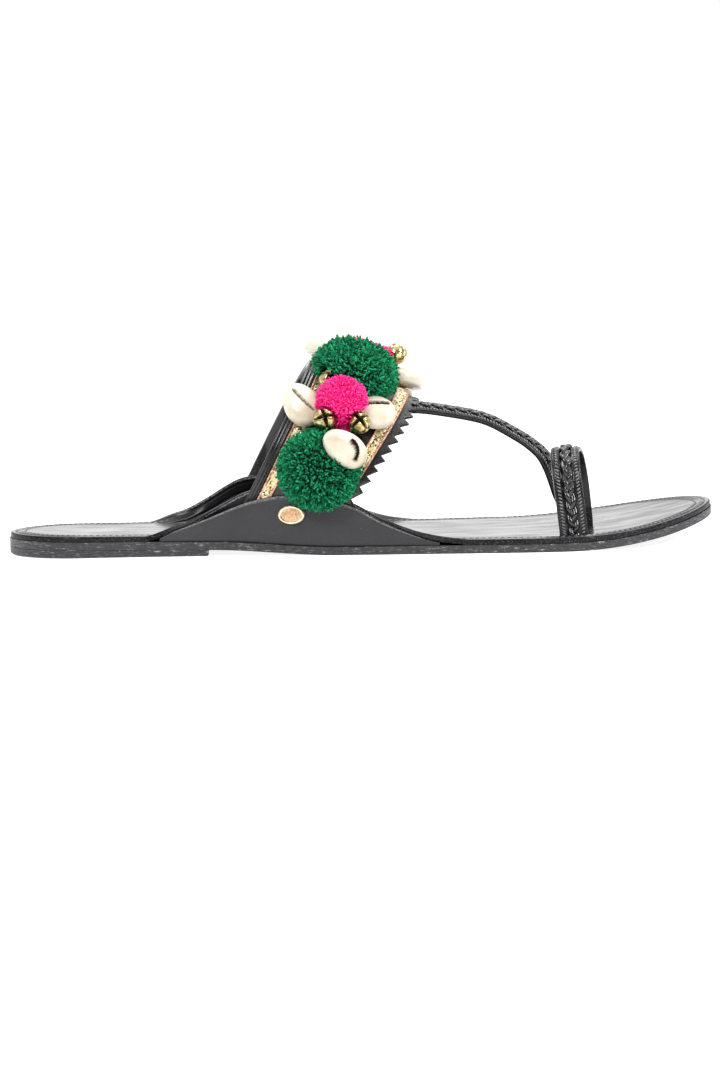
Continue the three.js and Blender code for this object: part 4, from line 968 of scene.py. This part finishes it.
def cowrie(slit, wide):
    """A shell: an egg with a flat belly whose slit is a groove along a quadratic curve. A lip swells
    beside it, and the teeth are a sine along it. Also how dark each point is painted: the groove as
    the painted shade of the shell's opening, and more between the teeth."""
    way = np.linspace(0, np.pi, 60)[:, None]
    ring = np.linspace(0, 2 * np.pi, 81)[None, :-1]
    t, full = -np.cos(way), np.sin(way)
    half = SHELL_WIDTH / 2 * full * (1 + SHELL_TAPER * t)
    high = SHELL_HEIGHT * full**SHELL_DOME
    sideways = np.sign(np.sin(ring)) * np.abs(np.sin(ring)) ** 0.9
    dome = np.abs(np.cos(ring)) ** 0.8
    upward = np.where(np.cos(ring) > 0, 0.4 + 0.6 * dome, 0.4 - 0.4 * dome)
    x, y = t * SHELL_LENGTH / 2 + 0 * ring, half * sideways
    u = np.linspace(0, 1, 60)[:, None]
    first, middle, last = (np.array(point) for point in slit)
    curve = (1 - u) ** 2 * first + 2 * u * (1 - u) * (2 * middle - (first + last) / 2) + u**2 * last
    away = np.hypot(x[..., None] - curve[:, 0], y[..., None] - curve[:, 1])
    nearest, length = np.argmin(away, axis=-1), np.hypot(*(last - first))
    away = away.min(axis=-1)
    upper = (np.cos(ring) > 0) & (full > 0.1)
    groove = np.exp(-((away / wide) ** 4)) * upper
    lip = np.exp(-(((away - 1.1) / 0.6) ** 2)) * upper * full
    tooth = np.sin(2 * np.pi * u[nearest, 0] * length / SLIT_TOOTH_PITCH)
    tooth = tooth * np.exp(-(((away - 0.7) / 0.5) ** 2)) * upper
    z = GAP + (SHELL_HEIGHT - high) * SHELL_BELLY + upward * high
    z = z - SLIT_DEPTH * groove * full + LIP_RISE * lip + TOOTH_RISE * tooth
    # The dark share is painted shade in the slit's groove, and it is larger between the teeth
    return np.stack([x, y, z], axis=-1), np.clip(groove * 1.6 - 0.1 + 0.5 * np.clip(-tooth, 0, 1), 0, 1)


def shell_gloss(name, slit_colour):
    """Ivory shell with a high natural gloss, warmer in clouds and with faint growth lines. Its slit
    is dull and painted brown or black as the shade of the opening, and it is darker between its teeth."""
    shell = Finish(name, (0.8, 0.75, 0.63), 0.2, Coat_Roughness=0.08)
    grain, slit = shell.noise(900, 4, 0.6), shell.stored("slit")
    ivory = shell.ramp(shell.noise(150, 4), (0.33, (0.64, 0.54, 0.39)), (0.62, (0.74, 0.68, 0.56)))
    shell.feed(
        Base_Color=shell.blend(slit, ivory, slit_colour),
        Roughness=shell.span(grain, 0.3, 0.7, 0.14, 0.34),
        Coat_Weight=shell.span(slit, 0.1, 0.6, 0.5, 0.0),
        Specular_IOR_Level=shell.span(slit, 0.1, 0.6, 0.5, 0.05),
    )
    shell.bump(grain, 0.00003)
    return shell.made


# Painted shade: each slit colour stands in for the shade inside the shell's opening, brown on the pale
# shells and black on the others
pale_shell = shell_gloss("shell_pale", (0.24, 0.18, 0.12))
shaded_slit_shell = shell_gloss("shell_shaded_slit", (0.02, 0.012, 0.008))
shell_kinds = {
    "long": (cowrie(LONG_SLIT, 0.42), pale_shell),
    "high": (cowrie(HIGH_SLIT, 0.65), shaded_slit_shell),
    "end": (cowrie(END_SLIT, 0.6), shaded_slit_shell),
}
shell_seats = []
for number, (arch, across, turn, roll, rise, kind) in enumerate(SHELLS, 1):
    place, ways = seat(arch, across, turn, roll, GAP + TRIM_THICKNESS + rise * SHELL_HEIGHT)
    shell_seats.append((place, ways))
    (local, dark), finish = shell_kinds[kind]
    piece(f"cowrie_shell_{number}", place + local @ ways, grid_faces(local, closed_columns=True),
          finish, [f"cowrie_{number}"], {"slit": dark})


# Bells. Small round brass bells pressed from sheet, whose four petals close over a pellet and leave
# a crossed opening, wide in the middle. They hang on threads among the shells.
BELL_RADIUS = 4.1
# Place along the arch and across the strap, and rise as a share of the radius
BELLS = [
    (-0.506, 0.41, 1.5), (-0.502, 0.735, 1.3), (-0.3, 0.27, 0.4), (0.05, 0.34, 1.4),
    (0.05, 0.79, 1.9), (0.53, 0.41, 1.5), (0.527, 0.735, 1.3),
]
down = np.linspace(0, np.pi, 64)[:, None]
ring = np.linspace(0, 2 * np.pi, 89)[None, :-1]
bell_x, bell_y = np.sin(down) * np.cos(ring), np.sin(down) * np.sin(ring)
bell_z = np.cos(down) + 0 * ring
from_cross = np.minimum(np.abs(bell_x), np.abs(bell_y))
opening = 0.04 + 0.17 * np.clip(bell_z, 0, 1) ** 2
open_slit = 1 / (1 + np.exp((from_cross - opening) / 0.02)) * (bell_z > 0.12)
petal_edge = np.exp(-(((from_cross - opening - 0.07) / 0.05) ** 2)) * (bell_z > 0.12)
bell_rim = np.exp(-((bell_z / 0.07) ** 2))
bell_size = BELL_RADIUS * (1 - 0.3 * open_slit - 0.03 * petal_edge - 0.03 + 0.03 * bell_rim)
bell_local = np.stack([bell_x, bell_y, bell_z], axis=-1) * bell_size[..., None] + [0, 0, BELL_RADIUS + GAP]


def bell_brass(name):
    """Polished brass with olive tarnish and scratches, and its opening painted black as the shade inside
    the hollow bell.
    """
    metal = Finish(name, (0.5, 0.4, 0.17), 0.2, Metallic=1.0)
    stain = metal.noise(500, 5, 0.6)
    bright = metal.ramp(stain, (0.35, (0.3, 0.24, 0.09)), (0.6, (0.68, 0.56, 0.28)))
    # Painted shade: the opening, only a shallow dent, is near black for the shade inside the hollow bell
    metal.feed(Base_Color=metal.blend(metal.stored("slit"), bright, (0.008, 0.007, 0.004)),
               Roughness=metal.span(stain, 0.3, 0.7, 0.3, 0.14))
    metal.bump(stain, 0.00008)
    return metal.made


brass = bell_brass("bell_brass")
bell_seats = []
for number, (arch, across, rise) in enumerate(BELLS, 1):
    place, ways = seat(arch, across, 25 * number, 0, rise * BELL_RADIUS)
    bell_seats.append((place, ways))
    piece(f"brass_bell_{number}", place + bell_local @ ways,
          grid_faces(bell_local, closed_columns=True), brass, [f"bell_{number}"],
          {"slit": open_slit})


# Pompoms. Lengths of wool yarn are tied in the middle, and their thousands of ends are trimmed to a
# ball: four green, loose and shaggy, and three pink, smaller, dense and clipped flat on top. They are
# sewn to the strap.
POMPOM_WAIST, BODY_REACH, YARN_REACH = 0.42, 0.99, 0.965
# Radius and height, how far the ball grew past the flat cut, and its lumps; then the count of yarns,
# their thickness, how deep they start as a share of the way, and how far they lean
GREEN = {"radius": 15.8, "tall": 14.5, "grown": 1.15, "lumps": 0.035,
         "yarns": 2800, "thick": 0.36, "depth": 0.165, "shag": 1.2}
PINK = {"radius": 10.0, "tall": 13.5, "grown": 1.4, "lumps": 0.015,
        "yarns": 2200, "thick": 0.26, "depth": 0.1, "shag": 0.9}
# Place along the arch and across the strap, and size
PINK_POMPOMS = [(-0.414, 0.48, 1.0), (0.035, 0.53, 0.95), (0.44, 0.49, 0.95)]
GREEN_POMPOMS = [(-0.706, 0.57, 0.95), (-0.207, 0.455, 1.0), (0.285, 0.5, 1.0), (0.715, 0.57, 0.95)]


def even_ways(count):
    """Directions spread evenly over a ball: equal steps of height and the golden angle between."""
    k = np.arange(count) + 0.5
    z = 1 - 2 * k / count
    angle = k * np.pi * (3 - np.sqrt(5))
    r = np.sqrt(1 - z * z)
    return np.column_stack([r * np.cos(angle), r * np.sin(angle), z])


def room_left(start, end, blocks):
    """Share of each way from start to end before it meets a shell, a bell or a pink pompom, each taken
    as an ellipsoid: the smaller root of the quadratic of the line and the unit ball."""
    left = np.ones(len(end))
    for centre, ways, radii in blocks:
        a = (start - centre) @ ways.T / radii
        d = (end - start) @ ways.T / radii
        dd, ad, aa = (d * d).sum(1), (a * d).sum(1), (a * a).sum(1)
        under = ad * ad - dd * (aa - 1)
        root = (-ad - np.sqrt(np.maximum(under, 0))) / dd
        left = np.where((under > 0) & (root > 0) & (root < left), root, left)
    return left


def reach_of(kind, size, place, ways, heading, blocks):
    """The middle of a pompom and the ways from it to its trimmed surface: an upright ellipsoid with a
    low waist, clipped flat on top, with soft lumps as products of sines of the direction, and drawn in
    where something presses on it."""
    lumps = np.sin(5 * heading[:, 0] + place[0]) * np.sin(6 * heading[:, 1] + place[1])
    lumps = lumps * (1 + heading[:, 2])
    wide, tall = kind["radius"] * size, kind["tall"] * size
    low = tall * POMPOM_WAIST
    z = heading[:, 2] * np.where(heading[:, 2] > 0, kind["grown"] * tall - low, low) + low
    ends = np.column_stack([heading[:, 0] * wide, heading[:, 1] * wide, np.minimum(z, tall) + GAP])
    middle = place + np.array([[0, 0, low * 0.75 + GAP]]) @ ways
    reach = place + ends @ ways - middle
    left = room_left(middle, middle + reach, blocks)
    return middle, reach * (np.minimum(left, 1 + kind["lumps"] * lumps))[:, None]


def spun(root, tip, bend, radii, sides, chance):
    """Closed strands from roots to tips: rings at even shares of the way, whose middle is moved
    sideways by a bend, and a point past the last ring. Their points and the faces of one strand."""
    count, rings = len(root), len(radii)
    toward = unit(tip - root + 1e-9)
    side = unit(np.cross(toward, chance.normal(0, 1, (count, 3))))
    other = np.cross(toward, side)
    corner = np.linspace(0, 2 * np.pi, sides + 1)[:-1]
    girdle = side[:, None] * np.cos(corner)[:, None] + other[:, None] * np.sin(corner)[:, None]
    share = np.linspace(0, 1, rings)[None, :, None]
    axis = root[:, None] + (tip - root)[:, None] * share + side[:, None] * (bend * np.sin(np.pi * share))
    points = axis[:, :, None] + girdle[:, None] * np.array(radii)[None, :, None, None]
    cap = tip + toward * radii[-1] * 0.6
    points = np.concatenate([points.reshape(count, -1, 3), cap[:, None]], axis=1)
    k = np.arange(sides)
    after = (k + 1) % sides
    faces = [[r * sides + a, r * sides + b, (r + 1) * sides + b, (r + 1) * sides + a]
             for r in range(rings - 1) for a, b in zip(k, after)]
    last = (rings - 1) * sides
    faces += [[last + a, last + b, last + sides] for a, b in zip(k, after)]
    return points, faces + [list(k[::-1])]


def pompom(node, kind, place, ways, size, blocks, finish, seed):
    """Cut ends of wool yarn round a middle ball, which is painted in the dark shade that lies inside.
    Each is a short blunt tuft that starts a depth in, as a share of the way, and leans at random, and
    finer single fibres stand between the tufts."""
    yarns, thick, depth, shag = (kind[word] for word in ("yarns", "thick", "depth", "shag"))
    chance = np.random.default_rng(seed)
    down, ring = np.meshgrid(np.linspace(0, np.pi, 26), np.linspace(0, 2 * np.pi, 41)[:-1], indexing="ij")
    heading = np.stack([np.sin(down) * np.cos(ring), np.sin(down) * np.sin(ring), np.cos(down)], axis=-1)
    middle, reach = reach_of(kind, size, place, ways, heading.reshape(-1, 3), blocks)
    points = [middle + reach * (BODY_REACH - depth)]
    faces = grid_faces(down, closed_columns=True).tolist()
    shade, deep = [np.zeros(down.size)], [np.zeros(down.size)]
    for count, radii, sides, start, spare, bend in (
        (yarns, [thick, thick * 1.15, thick * 0.9], 4, YARN_REACH - depth, 0.025, 0.25),
        (2 * yarns, [thick * 0.35], 3, 0.97 - depth, 0.05, 0.0),
    ):
        heading = unit(even_ways(count) + chance.normal(0, 0.03, (count, 3)))
        middle, reach = reach_of(kind, size, place, ways, heading, blocks)
        root = middle + reach * start
        lean = np.cross(reach, unit(chance.normal(0, 1, (count, 3))))
        end = YARN_REACH + chance.normal(0, spare, (count, 1))
        tip = middle + reach * end + lean * (end - start) * shag * chance.random((count, 1))
        under = (tip - place) @ ways[2] - GAP * 0.6
        tip = tip + ways[2] * np.maximum(0, -under)[:, None]
        strands, block = spun(root, tip, bend, radii, sides, chance)
        first = sum(map(len, points))
        per = strands.shape[1]
        faces += [[first + k * per + c for c in face] for k in range(count) for face in block]
        points.append(strands.reshape(-1, 3))
        shade.append(np.repeat(chance.random(count), per))
        way = np.append(np.repeat(np.linspace(0, 1, len(radii)), sides), 1.0)
        deep.append(np.tile(way, count))
    values = {"shade": np.concatenate(shade), "deep": np.concatenate(deep)}
    piece(f"{node}_wool", np.concatenate(points), faces, finish, [node], values, turn_out=False)


def wool(name, root_shade_colour, colours):
    """Dyed wool: a soft matt fibre, painted darker towards its root as the shade deep among the yarns,
    with light and dark yarns and the fine twist of the fibres along each."""
    yarn = Finish(name, colours[1], 0.9, Specular_IOR_Level=0.2)
    twist = yarn.noise(2600, 3, 0.6)
    dyed = yarn.ramp(yarn.stored("shade"), *zip((0.05, 0.5, 0.95), colours))
    lit = yarn.blend(yarn.span(twist, 0.35, 0.65, 0.35, 0), dyed, colours[0])
    # Painted shade: the roots and the middle ball take the darker first colour, for the shade deep among
    # the yarns
    yarn.feed(Base_Color=yarn.blend(yarn.span(yarn.stored("deep"), 0.15, 0.75), root_shade_colour, lit),
              Roughness=yarn.span(twist, 0.3, 0.7, 0.8, 1.0))
    yarn.bump(twist, 0.0001)
    return yarn.made


CLEAR = 0.35
shell_radii = np.array([SHELL_LENGTH / 2, SHELL_WIDTH / 2, SHELL_HEIGHT / 2]) + CLEAR
bell_radii = np.full(3, BELL_RADIUS + CLEAR)
blocks = [(place + ways[2] * (GAP + radii[2] - CLEAR), ways, radii)
          for seats, radii in ((shell_seats, shell_radii), (bell_seats, bell_radii))
          for place, ways in seats]
# The first colour of each wool is the painted shade at the roots and on the middle ball
pink_wool = wool("pink_wool", (0.8, 0.003, 0.2),
                 [(0.93, 0.012, 0.24), (1.0, 0.04, 0.33), (1.0, 0.13, 0.44)])
green_wool = wool("green_wool", (0.001, 0.025, 0.012),
                  [(0.001, 0.08, 0.03), (0.004, 0.2, 0.078), (0.022, 0.4, 0.17)])
pink_blocks = []
for number, (arch, across, size) in enumerate(PINK_POMPOMS, 1):
    place, ways = seat(arch, across, 0, 0, 0)
    pompom(f"pompom_pink_{number}", PINK, place, ways, size, blocks, pink_wool, number)
    radii = np.array([PINK["radius"], PINK["radius"], PINK["tall"] * 0.6]) * size + 0.3
    pink_blocks.append((place + ways[2] * PINK["tall"] * size * 0.45, ways, radii))
for number, (arch, across, size) in enumerate(GREEN_POMPOMS, 1):
    place, ways = seat(arch, across, 0, 0, 0)
    pompom(f"pompom_green_{number}", GREEN, place, ways, size, blocks + pink_blocks, green_wool,
           10 + number)


# Rivet heads. An oval brass head on each ear holds flap, strap and insole together. It has a bright
# turned rim and a brushed, slightly sunk middle that is left bare.
RIVET_LENGTH, RIVET_WIDTH, RIVET_HEIGHT, RIVET_FROM_HEEL, RIVET_UP = 9.5, 6.5, 1.3, 100.7, 14.4
# Section from the back over the rim to the sunk middle: shares of the radius and of the height
RIVET_SECTION = np.array([
    [0, 0], [0.97, 0], [1, 0.1], [1, 0.4], [0.985, 0.65], [0.95, 0.88], [0.9, 0.99], [0.86, 1],
    [0.82, 0.95], [0.79, 0.82], [0.76, 0.78], [0.7, 0.8], [0.5, 0.85], [0.25, 0.88], [0, 0.9],
])
ring = np.linspace(0, 2 * np.pi, 97)[:-1]
rivet_brass = Finish("rivet_brass", (0.86, 0.6, 0.34), 0.3, Metallic=0.9)
brushed = rivet_brass.noise(1400, 5, 0.7, 0.4)
tone = rivet_brass.ramp(brushed, (0.35, (0.48, 0.27, 0.14)), (0.65, (0.88, 0.59, 0.37)))
rim = rivet_brass.span(rivet_brass.stored("from_middle"), 0.76, 0.82)
rivet_brass.feed(Base_Color=rivet_brass.blend(rim, tone, (1.0, 0.86, 0.62)),
                 Roughness=rivet_brass.span(brushed, 0.3, 0.7, 0.25, 0.5))
rivet_brass.bump(brushed, 0.00008)
for side, word in ((INNER, "inner"), (OUTER, "outer")):
    behind, at, before = (spine(x) + side * flap_face(side, x) for x in RIVET_FROM_HEEL + np.arange(-1, 2))
    slope = np.arctan2(before - behind, 2)
    ahead = np.array([np.cos(slope), np.sin(slope), 0])
    outward = side * np.array([-np.sin(slope), np.cos(slope), 0])
    middle = np.array([RIVET_FROM_HEEL, at + side * GAP, RIVET_UP])
    r, h = RIVET_SECTION[:, 0][:, None, None], RIVET_SECTION[:, 1][:, None, None]
    points = (middle + ahead * (r * RIVET_LENGTH / 2 * np.cos(ring)[None, :, None])
              + np.array([0, 0, 1]) * (r * RIVET_WIDTH / 2 * np.sin(ring)[None, :, None])
              + outward * (h * RIVET_HEIGHT + 0 * ring[None, :, None]))
    piece(f"rivet_{word}_head", points, grid_faces(points, closed_columns=True), rivet_brass.made,
          [f"rivet_{word}"], {"from_middle": r[..., 0] + 0 * ring})
